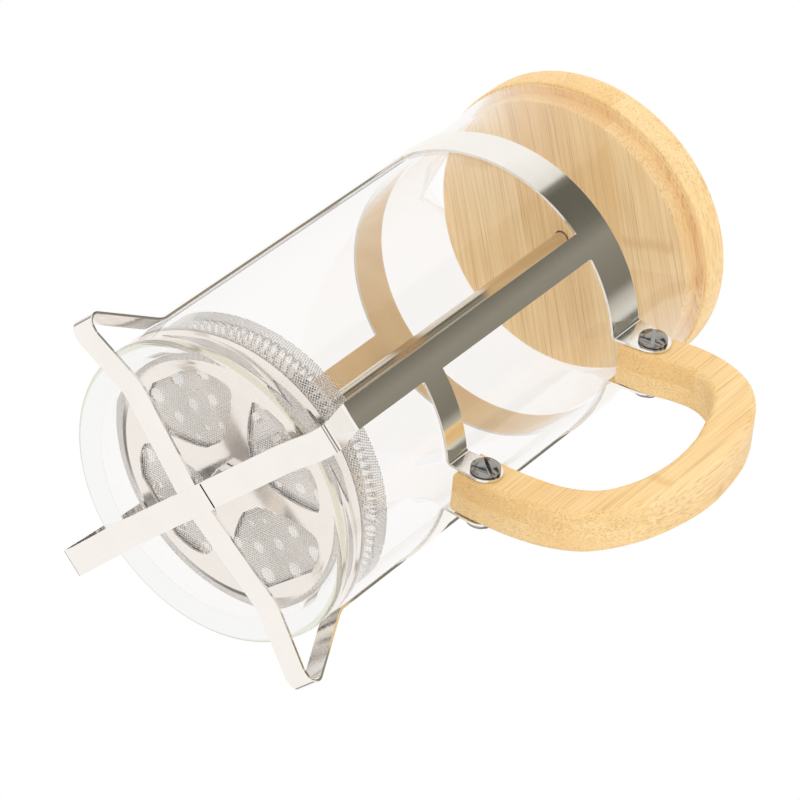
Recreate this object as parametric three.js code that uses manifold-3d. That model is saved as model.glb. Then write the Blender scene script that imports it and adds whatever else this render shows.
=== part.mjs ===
// French press: a glass beaker held in a stamped strap cage with a bamboo handle, closed by a bamboo lid
// that guides a plunger of rod, perforated plate, woven screen, edge spring and cross plate.
// Millimetres, +Z up. The origin lies on the table, under the middle of the outline in X and Y.
// Heights below are measured from the underside of the glass, and radii from the beaker's axis.

import * as THREE from "three";
import { mergeVertices } from "three/addons/utils/BufferGeometryUtils.js";
import Module from "manifold-3d";

const wasm = await Module();
wasm.setup();

// Fits and tolerances
const seatGap = 0.3; // between pieces that rest on each other
const threadGap = 0.15; // around a screwed or crimped shaft
const weld = 0.05; // how deep fused straps run into each other
const overrun = 3; // how far a cutter passes the piece it cuts
const mergeDistance = 0.0001;

// Beaker
const glassRadius = 48.5;
const glassWall = 2.1;
const glassFloor = 3;
const glassHeight = 184.6;
const heelRadius = 2.2;
const bowlRadius = 8;
const flareHeight = 21;
const flareWidth = 1.5;
const spoutReach = 9;
const spoutDrop = 15.5;
const spoutHalfAngle = Math.PI / 9;
const spoutAzimuth = Math.PI;

// Strap cage
const strapThickness = 0.8;
const strapWidth = 8.6;
const strapGap = 0.2; // between strap and glass
const ringWidth = 13.6;
const ringDrop = 15.6; // from where the glass flares down to the ring
const bandBottom = 49.1;
const bandWidth = 9.1;
const bandLap = 2.15; // of each half band past the middle of its upright
const uprightAngle = Math.PI / 4; // from the handle's plane to the nearer uprights
const footOutset = 13.5; // past the glass
const footDrop = 7.1;
const foldRadius = 2.6;
const soleLength = 1.8;
const legTop = 16.5;
const legBend = 5;
const slopeLength = 25; // from a foot's tip in to where its arm meets the glass
const armBend = 20;
const joggleRadius = 6.3;
const joggleRun = 0.9;
const seamRadius = 3.4;
const seamWidth = 0.3;
const seamDepth = 0.25;
const filletRadius = 1.1;
const tabBend = 1.5;

// Handle and its fasteners
const handleThickness = 14.5;
const handleReach = 56.4; // from its end faces to its outermost point
const handleStandoff = 2.8; // from the glass to its end faces
const handleRounding = 2;
const screwInset = 7.3; // from the end faces to the screws
const ringTabRadius = 5.6;
const bandTabRadius = 5.2;
const shankRadius = 2;
const sleeveRadius = 2.7;
const headRadius = 4.5;
const headHeight = 2.5;
const headRim = 0.9;
const screwPast = 5.8; // from the handle's middle plane to the screw's tip
const sleevePast = 1.8;
const slotWidth = 1.2;
const slotDepth = 1.2;
const upperSlotAngle = Math.PI / 9;
const lowerSlotAngle = Math.PI / 5;

// Lid and knob
const lidThickness = 11.8;
const lidOverhang = 0.5; // past the glass rim
const lidRounding = 3.6;
const plugDepth = 6.2;
const plugClearance = 0.7;
const plugChamfer = 0.6;
const knobRadius = 14.5;
const knobHeight = 27;
const knobNeck = 8.5;
const knobNeckHeight = 3;
const knobBellyHeight = 15.1;
const knobLowerAngle = Math.PI / 3.2; // of the round below the belly
const insertRadius = 4;
const insertDepth = 14;

// Plunger
const rodRadius = 2.25;
const rodClearance = 0.35;
const collarRadius = 5;
const collarHeight = 5;
const collarShoulderHeight = 2;
const collarTopRadius = 3.5;
const nutRadius = 5;
const nutHeight = 3.4;
const nutChamfer = 1.36;
const nutFaceRadius = 3.6;
const nutCap = 1.2; // thickness of the closed end
const filterLift = 6; // from the beaker's floor to the hub nut when pressed down
const plateThickness = 0.7;
const crossLipGap = 5.1; // between the cross plate's lip and the glass
const crossFlare = 2.7;
const crossLipHeight = 2;
const plateBend = 1.2;
const petalInner = 11.2;
const petalRim = 3; // of the flat, left outside the petals
const petalTurn = THREE.MathUtils.degToRad(48);
const petals = 4;
const screenThickness = 0.5;
const screenHeight = 8.5;
const screenShoulderHeight = 2.8;
const screenGap = 0.35; // between the screen's edge and the glass
const spiralRimHeight = 6.5;
const spiralDishDepth = 2;
const springCurl = 2.1;
const wireRadius = 0.4;
const springCurls = 64;
const springStepsPerCurl = 8;
const springSides = 5;
const holesPerRow = 18;
const holeTurn = Math.PI / 36;
const holeMargin = 2.9; // from the outer row's holes to the flat's edge
const outerHoleRadius = 2.5;
const middleHoleRadius = 2;
const innerHoleRadius = 1.1;
const middleRowShare = 0.726; // of the outer row's radius
const innerRowShare = 0.483;

// Facets around a full turn
const beakerSides = 52;
const strapSides = 48;
const lidSides = 44;
const plateSides = 40;
const smallSides = 16;
const holeSides = 6;
const filletSteps = 2;

// Derived places
const glassInner = glassRadius - glassWall;
const rimRadius = glassRadius + flareWidth;
const ringBottom = glassHeight - flareHeight - ringDrop - ringWidth;
const footReach = glassRadius + footOutset;
const armFlat = footReach - slopeLength;
const strapMiddle = glassRadius + strapGap + strapThickness / 2;
const armMiddle = -(strapGap + strapThickness / 2);
const joggleMiddle = armMiddle - strapThickness + weld;
const handleEnd = glassRadius + handleStandoff;
const handleSide = handleThickness / 2;
const tabMiddle = handleSide + strapGap + strapThickness / 2;
const tabFace = tabMiddle + strapThickness / 2;
const screwPlace = handleEnd + screwInset;
const upperScrewHeight = ringBottom + ringWidth / 2;
const lowerScrewHeight = bandBottom + bandWidth / 2;
const lidBottom = glassHeight + seatGap;
const lidTop = lidBottom + lidThickness;
const lidRadius = rimRadius + lidOverhang;
const plugRadius = glassInner - plugClearance;
const knobBottom = lidTop + seatGap;
const nutBottom = glassFloor + filterLift;
const crossBottom = nutBottom + nutHeight + seatGap;
const screenBottom = crossBottom + plateThickness + seatGap;
const spiralBottom = screenBottom + screenThickness + seatGap;
const collarBottom = spiralBottom + plateThickness + seatGap;
const screenEdge = glassInner - screenGap;
const springMiddleRadius =
  screenEdge - screenThickness - seatGap - wireRadius - springCurl;
const spiralRimRadius =
  springMiddleRadius - springCurl - wireRadius - seatGap - plateThickness / 2;
const crossLipRadius = glassInner - crossLipGap;
const crossFlatRadius = crossLipRadius - crossFlare;
const petalOuter = crossFlatRadius - petalRim;
const stackStep = plateThickness + seatGap;
const bendShift = stackStep * Math.tan(Math.atan2(crossLipHeight, crossFlare) / 2);
const screenFlatRadius = crossFlatRadius - bendShift;
const spiralFlatRadius = screenFlatRadius - bendShift;
const outerRowRadius = spiralFlatRadius - outerHoleRadius - holeMargin;
const outlineMiddle =
  (handleEnd + handleReach - (rimRadius + spoutReach)) / 2;

// Points and outlines
const point = (x, y) => new THREE.Vector2(x, y);

function arcPoints(center, radius, from, to, steps) {
  const points = [];
  for (let i = 0; i <= steps; i++) {
    const angle = from + ((to - from) * i) / steps;
    points.push(
      point(
        center.x + radius * Math.cos(angle),
        center.y + radius * Math.sin(angle),
      ),
    );
  }
  return points;
}

// The corner between two straight stretches, rounded by an arc.
function roundCorner(before, corner, after, radius, steps) {
  const back = before.clone().sub(corner).normalize();
  const ahead = after.clone().sub(corner).normalize();
  const half = Math.acos(back.dot(ahead)) / 2;
  const bisector = back.clone().add(ahead).normalize();
  const center = corner
    .clone()
    .addScaledVector(bisector, radius / Math.sin(half));
  const start = corner.clone().addScaledVector(back, radius / Math.tan(half));
  const end = corner.clone().addScaledVector(ahead, radius / Math.tan(half));
  const from = start.clone().sub(center).angle();
  let sweep = end.clone().sub(center).angle() - from;
  if (sweep > Math.PI) sweep -= 2 * Math.PI;
  if (sweep < -Math.PI) sweep += 2 * Math.PI;
  return arcPoints(center, radius, from, from + sweep, steps);
}

// The outline of a strip of even thickness along a middle line.
function ribbon(middle, thickness) {
  const left = [];
  const right = [];
  middle.forEach((here, i) => {
    const before = middle[Math.max(i - 1, 0)];
    const after = middle[Math.min(i + 1, middle.length - 1)];
    const arriving = here.clone().sub(before).normalize();
    const leaving = after.clone().sub(here).normalize();
    const along = arriving.clone().add(leaving).normalize();
    const normal = point(-along.y, along.x);
    const turn = i === 0 ? leaving : arriving;
    const stretch = thickness / 2 / Math.abs(along.dot(turn));
    left.push(here.clone().addScaledVector(normal, stretch));
    right.push(here.clone().addScaledVector(normal, -stretch));
  });
  return [...left, ...right.reverse()];
}

// Solids
function solidOf(geometry) {
  const loose = geometry.index ? geometry.toNonIndexed() : geometry;
  const bare = new THREE.BufferGeometry();
  bare.setAttribute("position", loose.getAttribute("position"));
  const merged = mergeVertices(bare, mergeDistance);
  const corners = [];
  const index = merged.index.array;
  for (let i = 0; i < index.length; i += 3) {
    const [a, b, c] = index.subarray(i, i + 3);
    if (a !== b && b !== c && c !== a) corners.push(a, b, c);
  }
  const mesh = new wasm.Mesh({
    numProp: 3,
    vertProperties: merged.getAttribute("position").array,
    triVerts: new Uint32Array(corners),
  });
  return new wasm.Manifold(mesh);
}

function geometryOf(solid) {
  const mesh = solid.getMesh();
  const geometry = new THREE.BufferGeometry();
  const positions = new Float32Array(mesh.vertProperties);
  geometry.setAttribute("position", new THREE.BufferAttribute(positions, 3));
  const corners = new Uint32Array(mesh.triVerts);
  geometry.setIndex(new THREE.BufferAttribute(corners, 1));
  geometry.computeVertexNormals();
  return geometry;
}

const joined = (solids) => solids.reduce((whole, next) => whole.add(next));

// A profile of radius and height, turned round the Z axis.
function turned(profile, sides) {
  const geometry = new THREE.LatheGeometry(profile, sides);
  geometry.rotateX(Math.PI / 2);
  return solidOf(geometry);
}

// An outline that closes on itself, clear of the axis.
function turnedRing(outline, sides) {
  const profile = [...outline];
  if (THREE.ShapeUtils.isClockWise(profile)) profile.reverse();
  return turned([...profile, profile[0]], sides);
}

// A plan outline in X and Y, raised from one height to another.
function raised(outline, bottom, top) {
  const shape = outline instanceof THREE.Shape ? outline : new THREE.Shape(outline);
  const options = { depth: top - bottom, bevelEnabled: false };
  const geometry = new THREE.ExtrudeGeometry(shape, options);
  geometry.translate(0, 0, bottom);
  return solidOf(geometry);
}

// A side outline in X and Z, given an even width across Y about a middle place.
function crosswise(outline, width, middle = 0) {
  const options = { depth: width, bevelEnabled: false };
  const geometry = new THREE.ExtrudeGeometry(new THREE.Shape(outline), options);
  geometry.translate(0, 0, -width / 2);
  geometry.rotateX(Math.PI / 2);
  geometry.translate(0, middle, 0);
  return solidOf(geometry);
}

const bar = (radius, length, sides) =>
  new THREE.CylinderGeometry(radius, radius, length, sides);

// An upright cylinder between two heights.
function post(radius, bottom, top, sides) {
  const geometry = bar(radius, top - bottom, sides);
  geometry.rotateX(Math.PI / 2);
  geometry.translate(0, 0, (bottom + top) / 2);
  return solidOf(geometry);
}

// A cylinder along Y through a point of the XZ plane.
function crossPin(radius, x, z, from, to, sides) {
  const geometry = bar(radius, to - from, sides);
  geometry.translate(x, (from + to) / 2, z);
  return solidOf(geometry);
}

function turnedTo(solid, azimuth) {
  const geometry = geometryOf(solid);
  geometry.rotateZ(azimuth);
  return solidOf(geometry);
}

// Beaker: one wall profile turned into a jar, then drawn out into a pouring spout
function spoutPull(azimuth, height) {
  const start = glassHeight - glassWall / 2 - spoutDrop;
  const rise = Math.min((height - start) / spoutDrop, 1);
  if (rise <= 0) return 0;
  const offset = Math.abs(
    Math.atan2(
      Math.sin(azimuth - spoutAzimuth),
      Math.cos(azimuth - spoutAzimuth),
    ),
  );
  const width = spoutHalfAngle * rise;
  if (offset >= width) return 0;
  return spoutReach * rise * Math.cos((Math.PI / 2) * (offset / width)) ** 2;
}

function beaker() {
  const flareStart = glassHeight - flareHeight;
  const rimSteps = 4;
  const flareSteps = 5;
  const flare = [];
  for (let i = 0; i <= flareSteps; i++) {
    const rise = i / flareSteps;
    flare.push(
      point(
        flareWidth * rise * rise,
        flareStart + (flareHeight - glassWall / 2) * rise,
      ),
    );
  }
  const rimMiddle = point(
    rimRadius - glassWall / 2,
    glassHeight - glassWall / 2,
  );
  const profile = [
    point(0, 0),
    ...arcPoints(
      point(glassRadius - heelRadius, heelRadius),
      heelRadius,
      -Math.PI / 2,
      0,
      2,
    ),
    ...flare.map((p) => point(glassRadius + p.x, p.y)).slice(0, -1),
    ...arcPoints(rimMiddle, glassWall / 2, 0, Math.PI, rimSteps),
    ...flare
      .map((p) => point(glassInner + p.x, p.y))
      .slice(0, -1)
      .reverse(),
    ...arcPoints(
      point(glassInner - bowlRadius, glassFloor + bowlRadius),
      bowlRadius,
      0,
      -Math.PI / 2,
      3,
    ),
    point(0, glassFloor),
  ];
  const geometry = new THREE.LatheGeometry(profile, beakerSides);
  geometry.rotateX(Math.PI / 2);
  const places = geometry.getAttribute("position");
  for (let i = 0; i < places.count; i++) {
    const x = places.getX(i);
    const y = places.getY(i);
    const radius = Math.hypot(x, y);
    if (radius < glassInner - bowlRadius) continue;
    const azimuth = Math.atan2(y, x);
    const drawn = 1 + spoutPull(azimuth, places.getZ(i)) / radius;
    places.setXY(i, x * drawn, y * drawn);
  }
  return solidOf(geometry);
}

// Strap cage: a ring and two half bands that end in screw tabs, four uprights, and four folded feet
// whose arms cross under the glass
const uprightAzimuths = [
  uprightAngle,
  -uprightAngle,
  Math.PI - uprightAngle,
  uprightAngle - Math.PI,
];

function tabBendPlace() {
  const center = point(0, -(tabMiddle + tabBend));
  center.x = Math.sqrt((strapMiddle + tabBend) ** 2 - center.y ** 2);
  return { center, leave: center.angle() - 2 * Math.PI };
}

// The middle line from a tab's root round its bend, on the side of -Y.
function tabBendPath() {
  const { center, leave } = tabBendPlace();
  return arcPoints(center, tabBend, Math.PI / 2, leave + Math.PI, 4);
}

const mirrored = (points) => points.map((p) => point(p.x, -p.y)).reverse();

// Where a straight line from a point outside a circle touches it, as an angle about the circle's middle.
function touchAngle(from, center, radius, side) {
  const away = from.clone().sub(center);
  return away.angle() + side * Math.acos(radius / away.length());
}

// A flat tab that tapers from the strap's width to a round end about its screw.
function tab(side, bottom, width, endRadius) {
  const middle = point(screwPlace, bottom + width / 2);
  const root = tabBendPlace().center.x - weld;
  const low = point(root, bottom);
  const high = point(root, bottom + width);
  const from = touchAngle(low, middle, endRadius, 1);
  const to = touchAngle(high, middle, endRadius, -1) + 2 * Math.PI;
  const outline = [low, ...arcPoints(middle, endRadius, from, to, 12), high];
  const plate = crosswise(outline, strapThickness, side * tabMiddle);
  const reach = tabFace + overrun;
  const bore = sleeveRadius + threadGap;
  const hole = crossPin(bore, middle.x, middle.y, -reach, reach, smallSides);
  return plate.subtract(hole);
}

function ring() {
  const { leave } = tabBendPlace();
  const bend = tabBendPath();
  const end = -leave - 2 * Math.PI;
  const around = arcPoints(point(0, 0), strapMiddle, leave, end, strapSides - 4);
  const middle = [...bend.slice(0, -1), ...around, ...mirrored(bend).slice(1)];
  const outline = ribbon(middle, strapThickness);
  return joined([
    raised(outline, ringBottom, ringBottom + ringWidth),
    tab(-1, ringBottom, ringWidth, ringTabRadius),
    tab(1, ringBottom, ringWidth, ringTabRadius),
  ]);
}

function halfBand(side) {
  const { leave } = tabBendPlace();
  const end = -uprightAngle - bandLap / strapMiddle;
  const around = arcPoints(point(0, 0), strapMiddle, leave, end, 7);
  const near = [...tabBendPath().slice(0, -1), ...around];
  const outline = ribbon(side < 0 ? near : mirrored(near), strapThickness);
  return joined([
    raised(outline, bandBottom, bandBottom + bandWidth),
    tab(side, bandBottom, bandWidth, bandTabRadius),
  ]);
}

function upright(azimuth) {
  const half = strapWidth / 2 / strapMiddle;
  const middle = arcPoints(
    point(0, 0),
    strapMiddle,
    azimuth - half,
    azimuth + half,
    2,
  );
  return raised(
    ribbon(middle, strapThickness),
    legTop,
    ringBottom + ringWidth / 2,
  );
}

function foot(azimuth, joggled) {
  const outerFold = point(
    footReach - strapThickness / 2 - foldRadius,
    -footDrop + strapThickness / 2 + foldRadius,
  );
  const innerFold = outerFold.clone().setX(outerFold.x - soleLength);
  const top = point(strapMiddle, legTop + strapWidth);
  const knee = point(strapMiddle, legTop);
  const slopeStart = point(armFlat, armMiddle);
  const legTouch = touchAngle(knee, outerFold, foldRadius, -1);
  const slopeTouch =
    touchAngle(slopeStart, innerFold, foldRadius, 1) - 2 * Math.PI;
  const outer = arcPoints(
    outerFold,
    foldRadius,
    legTouch,
    -Math.PI / 2,
    6,
  );
  const inner = arcPoints(innerFold, foldRadius, -Math.PI / 2, slopeTouch, 1);
  const end = joggled
    ? [
        point(joggleRadius + joggleRun, armMiddle),
        point(joggleRadius, joggleMiddle),
        point(0, joggleMiddle),
      ]
    : [point(0, armMiddle)];
  const middle = [
    top,
    ...roundCorner(top, knee, outer[0], legBend, 4),
    ...outer,
    ...inner,
    ...roundCorner(inner[1], slopeStart, end[0], armBend, 4),
    ...end,
  ];
  const outline = ribbon(middle, strapThickness);
  return turnedTo(crosswise(outline, strapWidth), azimuth);
}

// A small fillet under the edge of a band, beside one of an upright's sides.
function fillet(azimuth, side, height) {
  const center = point(filletRadius, -filletRadius);
  const outline = [
    point(-weld, weld),
    point(filletRadius, weld),
    ...arcPoints(center, filletRadius, Math.PI / 2, Math.PI, filletSteps),
    point(-weld, -filletRadius),
  ];
  const placed = outline.map((p) => point(side * p.x, p.y));
  const options = { depth: strapThickness - weld, bevelEnabled: false };
  const geometry = new THREE.ExtrudeGeometry(new THREE.Shape(placed), options);
  geometry.translate(0, 0, -options.depth / 2);
  geometry.rotateX(Math.PI / 2);
  geometry.rotateZ(Math.PI / 2);
  geometry.translate(strapMiddle, 0, height);
  geometry.rotateZ(azimuth + (side * strapWidth) / 2 / strapMiddle);
  return solidOf(geometry);
}

// They lie on the handle's side of the uprights, under the ring and under the half bands.
function fillets() {
  const made = [];
  for (const azimuth of uprightAzimuths)
    made.push(fillet(azimuth, -Math.sign(azimuth), ringBottom));
  for (const side of [-1, 1])
    made.push(fillet(side * uprightAngle, -side, bandBottom));
  return joined(made);
}

function cage() {
  const straps = [ring(), halfBand(-1), halfBand(1)];
  uprightAzimuths.forEach((azimuth) => {
    const joggled = Math.sin(2 * azimuth) < 0;
    straps.push(upright(azimuth), foot(azimuth, joggled));
  });
  const seam = new THREE.BoxGeometry(
    seamWidth,
    strapWidth + overrun,
    2 * seamDepth,
  );
  seam.translate(seamRadius, 0, joggleMiddle - strapThickness / 2);
  seam.rotateZ(Math.PI - uprightAngle);
  return joined([...straps, fillets()]).subtract(solidOf(seam));
}

// Handle: a bamboo bow with rounded edges. Each pair is a share of its reach, and a share of the rise
// from the lower screw to the upper one
const handleOuterShares = [
  [0, -0.062],
  [0.2, -0.064],
  [0.39, -0.052],
  [0.58, -0.016],
  [0.745, 0.055],
  [0.88, 0.19],
  [0.96, 0.34],
  [1, 0.52],
  [0.975, 0.7],
  [0.925, 0.83],
  [0.83, 0.955],
  [0.7, 1.045],
  [0.53, 1.093],
  [0.34, 1.103],
  [0.17, 1.08],
  [0, 1.05],
];
const handleInnerShares = [
  [0, 0.917],
  [0.17, 0.922],
  [0.33, 0.951],
  [0.46, 0.955],
  [0.58, 0.918],
  [0.665, 0.84],
  [0.72, 0.74],
  [0.765, 0.63],
  [0.78, 0.5],
  [0.76, 0.37],
  [0.71, 0.26],
  [0.63, 0.178],
  [0.5, 0.125],
  [0.36, 0.103],
  [0.2, 0.093],
  [0, 0.093],
];

function handle() {
  const span = upperScrewHeight - lowerScrewHeight;
  const place = ([along, up]) =>
    point(handleEnd + handleReach * along, lowerScrewHeight + span * up);
  const [lowEnd, ...outer] = handleOuterShares.map(place);
  const [highEnd, ...inner] = handleInnerShares.map(place);
  const outline = new THREE.Shape();
  outline.moveTo(lowEnd.x, lowEnd.y);
  outline.splineThru(outer);
  outline.lineTo(highEnd.x, highEnd.y);
  outline.splineThru(inner);
  outline.closePath();
  const geometry = new THREE.ExtrudeGeometry(outline, {
    depth: handleThickness - 2 * handleRounding,
    bevelThickness: handleRounding,
    bevelSize: handleRounding,
    bevelOffset: -handleRounding,
    bevelSegments: 2,
    curveSegments: 2,
  });
  geometry.translate(0, 0, -handleSide + handleRounding);
  geometry.rotateX(Math.PI / 2);
  const bores = [lowerScrewHeight, upperScrewHeight].map((height) =>
    crossPin(
      sleeveRadius + threadGap,
      screwPlace,
      height,
      -handleSide - overrun,
      handleSide + overrun,
      smallSides,
    ),
  );
  return solidOf(geometry).subtract(joined(bores));
}

// A slotted pan head on a stem, pointing along +Z with the underside of the head at zero
function slottedHead(stem, slotAngle) {
  const dome = [];
  const steps = 4;
  for (let i = 0; i <= steps; i++) {
    const angle = ((Math.PI / 2) * i) / steps;
    dome.push(
      point(
        headRadius * Math.cos(angle),
        headRim + (headHeight - headRim) * Math.sin(angle),
      ),
    );
  }
  dome[steps].x = 0;
  const head = turned([...stem, point(headRadius, 0), ...dome], smallSides);
  const slot = new THREE.BoxGeometry(
    2 * (headRadius + overrun),
    slotWidth,
    2 * slotDepth,
  );
  slot.rotateZ(slotAngle);
  slot.translate(0, 0, headHeight);
  return head.subtract(solidOf(slot));
}

// Each fastener's length under its head
const screwLength = tabFace + screwPast;
const sleeveLength = tabFace + sleevePast;

function screw(slotAngle) {
  const stem = [
    point(0, -screwLength),
    point(shankRadius, -screwLength),
    point(shankRadius, 0),
  ];
  return slottedHead(stem, slotAngle);
}

function sleeveNut(slotAngle) {
  const bore = shankRadius + threadGap;
  const depth = screwLength + sleeveLength - 2 * tabFace + seatGap;
  const stem = [
    point(0, -sleeveLength + depth),
    point(bore, -sleeveLength + depth),
    point(bore, -sleeveLength),
    point(sleeveRadius, -sleeveLength),
    point(sleeveRadius, 0),
  ];
  return slottedHead(stem, slotAngle);
}

// Lid: a turned bamboo disc with a plug that fits the beaker's mouth, bored for the rod
function lid() {
  const bore = rodRadius + rodClearance;
  const profile = [
    point(bore, -plugDepth),
    point(plugRadius - plugChamfer, -plugDepth),
    point(plugRadius, -plugDepth + plugChamfer),
    point(plugRadius, 0),
    ...arcPoints(
      point(lidRadius - plugChamfer, plugChamfer),
      plugChamfer,
      -Math.PI / 2,
      0,
      2,
    ),
    ...arcPoints(
      point(lidRadius - lidRounding, lidThickness - lidRounding),
      lidRounding,
      0,
      Math.PI / 2,
      5,
    ),
    point(bore, lidThickness),
  ];
  return turnedRing(profile, lidSides);
}

function knob() {
  const bore = insertRadius + threadGap;
  const shoulders = [];
  const steps = 7;
  for (let i = 0; i <= steps; i++) {
    const angle = THREE.MathUtils.lerp(-knobLowerAngle, Math.PI / 2, i / steps);
    const below = (knobBellyHeight - knobNeckHeight) / Math.sin(knobLowerAngle);
    const tall = angle < 0 ? below : knobHeight - knobBellyHeight;
    shoulders.push(
      point(
        knobRadius * Math.cos(angle),
        knobBellyHeight + tall * Math.sin(angle),
      ),
    );
  }
  shoulders[steps].x = 0;
  const profile = [
    point(0, insertDepth + seatGap),
    point(bore, insertDepth + seatGap),
    point(bore, 0),
    point(knobNeck, 0),
    ...shoulders,
  ];
  return turned(profile, lidSides / 2);
}

function insert() {
  const bore = rodRadius + threadGap;
  const wall = insertRadius - bore;
  const profile = [
    point(bore, 0),
    point(insertRadius, 0),
    point(insertRadius, insertDepth),
    point(0, insertDepth),
    point(0, insertDepth - wall),
    point(bore, insertDepth - wall),
  ];
  return turnedRing(profile, smallSides);
}

// Plates of the filter: each a bowl profile about the rod's hole
function bowl(path, thickness, sides) {
  return turnedRing(ribbon(path, thickness), sides);
}

function rodHole() {
  return rodRadius + threadGap;
}

// Cross plate: a flat disc with a flared flange and four petal windows
function crossPlate() {
  const half = plateThickness / 2;
  const corner = point(crossFlatRadius, half);
  const lip = point(crossLipRadius - half, crossLipHeight - half);
  const start = point(rodHole(), half);
  const path = [
    start,
    ...roundCorner(start, corner, lip, plateBend, 3),
    lip,
  ];
  const windows = [];
  for (let i = 0; i < petals; i++) {
    const azimuth = petalTurn + (2 * Math.PI * i) / petals;
    windows.push(raised(petal(azimuth), -overrun, plateThickness + overrun));
  }
  return bowl(path, plateThickness, plateSides).subtract(joined(windows));
}

// Each pair is a place between the petal's inner and outer radius, and its half angle there as a share
// of a right angle
const petalShares = [
  [0, 0.18],
  [0.12, 0.31],
  [0.37, 0.4],
  [0.63, 0.42],
  [0.84, 0.4],
  [0.945, 0.31],
  [1, 0.18],
];

function petal(azimuth) {
  const side = (turn) =>
    petalShares.map(([out, spread]) => {
      const radius = THREE.MathUtils.lerp(petalInner, petalOuter, out);
      const angle = azimuth + (turn * spread * Math.PI) / 2;
      return point(radius * Math.cos(angle), radius * Math.sin(angle));
    });
  return [...side(-1), ...side(1).reverse()];
}

// Woven screen: a thin cup that follows the cross plate and flares out to the glass
function screen() {
  const half = screenThickness / 2;
  const corner = point(screenFlatRadius, half);
  const lip = point(
    crossLipRadius - stackStep - seatGap,
    crossLipHeight - stackStep + seatGap,
  );
  const edge = point(screenEdge - half, screenShoulderHeight);
  const top = point(screenEdge - half, screenHeight);
  const start = point(rodHole(), half);
  const path = [
    start,
    ...roundCorner(start, corner, lip, plateBend, 2),
    lip,
    ...roundCorner(lip, edge, top, plateBend, 2),
    top,
  ];
  return bowl(path, screenThickness, plateSides);
}

// Spiral plate: a perforated dish whose rim backs the edge spring
function spiralPlate() {
  const half = plateThickness / 2;
  const start = point(rodHole(), half);
  const corner = point(spiralFlatRadius, half);
  const shoulder = point(spiralRimRadius, spiralDishDepth);
  const rim = point(spiralRimRadius, spiralRimHeight);
  const path = [
    start,
    ...roundCorner(start, corner, shoulder, plateBend, 2),
    ...roundCorner(corner, shoulder, rim, plateBend, 2),
    rim,
  ];
  const rows = [
    [1, outerHoleRadius],
    [middleRowShare, middleHoleRadius],
    [innerRowShare, innerHoleRadius],
  ];
  const holes = [];
  for (const [share, holeRadius] of rows)
    for (let i = 0; i < holesPerRow; i++) {
      const geometry = bar(holeRadius, plateThickness + 2 * overrun, holeSides);
      geometry.rotateX(Math.PI / 2);
      geometry.translate(outerRowRadius * share, 0, 0);
      geometry.rotateZ(holeTurn + (2 * Math.PI * i) / holesPerRow);
      holes.push(solidOf(geometry));
    }
  return bowl(path, plateThickness, plateSides).subtract(joined(holes));
}

// The least distance between points of different curls, less the wire's thickness.
function leastGap(middles) {
  const apart = springStepsPerCurl - 2;
  let least = Infinity;
  middles.forEach((a, i) => {
    for (let j = i + apart; j < middles.length; j++)
      least = Math.min(least, a.distanceTo(middles[j]));
  });
  return least - 2 * wireRadius;
}

// Edge spring: one wire wound in curls round the rim, its two ends a curl apart
function edgeSpring() {
  const steps = (springCurls - 1) * springStepsPerCurl;
  const turn = (2 * Math.PI) / (springCurls * springStepsPerCurl);
  const places = [];
  const corners = [];
  const middles = [];
  const middleAt = (i) => {
    const around = i * turn;
    const curl = around * springCurls;
    const radius = springMiddleRadius + springCurl * Math.cos(curl);
    return new THREE.Vector3(
      radius * Math.cos(around),
      radius * Math.sin(around),
      springCurl * Math.sin(curl),
    );
  };
  for (let i = 0; i <= steps; i++) {
    const middle = middleAt(i);
    const around = i * turn;
    const core = new THREE.Vector3(
      springMiddleRadius * Math.cos(around),
      springMiddleRadius * Math.sin(around),
      0,
    );
    const along = middleAt(i + 1).sub(middleAt(i - 1)).normalize();
    const out = middle.clone().sub(core);
    out.addScaledVector(along, -out.dot(along)).normalize();
    const aside = new THREE.Vector3().crossVectors(along, out);
    for (let k = 0; k < springSides; k++) {
      const angle = (2 * Math.PI * k) / springSides;
      const p = middle
        .clone()
        .addScaledVector(out, wireRadius * Math.cos(angle))
        .addScaledVector(aside, wireRadius * Math.sin(angle));
      places.push(p.x, p.y, p.z);
    }
    middles.push(middle);
  }
  for (let i = 0; i < steps; i++)
    for (let k = 0; k < springSides; k++) {
      const next = (k + 1) % springSides;
      const a = i * springSides + k;
      const b = i * springSides + next;
      const c = a + springSides;
      const d = b + springSides;
      corners.push(a, b, d, a, d, c);
    }
  const last = steps * springSides;
  for (let k = 1; k < springSides - 1; k++) {
    corners.push(0, k + 1, k);
    corners.push(last, last + k, last + k + 1);
  }
  const geometry = new THREE.BufferGeometry();
  const attribute = new THREE.Float32BufferAttribute(places, 3);
  geometry.setAttribute("position", attribute);
  geometry.setIndex(corners);
  console.log(
    "edge spring: least gap to itself",
    leastGap(middles).toFixed(2),
    "mm",
  );
  return solidOf(geometry);
}

function collar() {
  const bore = rodRadius + threadGap;
  const profile = [
    point(bore, 0),
    point(collarRadius, 0),
    point(collarRadius, collarShoulderHeight),
    point(collarTopRadius, collarHeight),
    point(bore, collarHeight),
  ];
  return turnedRing(profile, smallSides);
}

// Hub nut: a six-sided cap nut with a domed underside
function hubNut() {
  const bore = rodRadius + threadGap;
  const sides = 6;
  const hexagon = post(nutRadius, 0, nutHeight, sides);
  const dome = turned(
    [
      point(0, -overrun),
      point(nutFaceRadius, 0),
      point(nutRadius + weld, nutChamfer),
      point(nutRadius + weld, nutHeight + overrun),
      point(0, nutHeight + overrun),
    ],
    smallSides,
  );
  const hole = post(bore, nutCap, nutHeight + overrun, smallSides);
  return hexagon.intersect(dome).subtract(hole);
}

function rod() {
  const bottom = nutCap + threadGap;
  const bore = insertRadius - (rodRadius + threadGap);
  const top = knobBottom - nutBottom + insertDepth - bore - threadGap;
  return post(rodRadius, bottom, top, smallSides);
}

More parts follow.
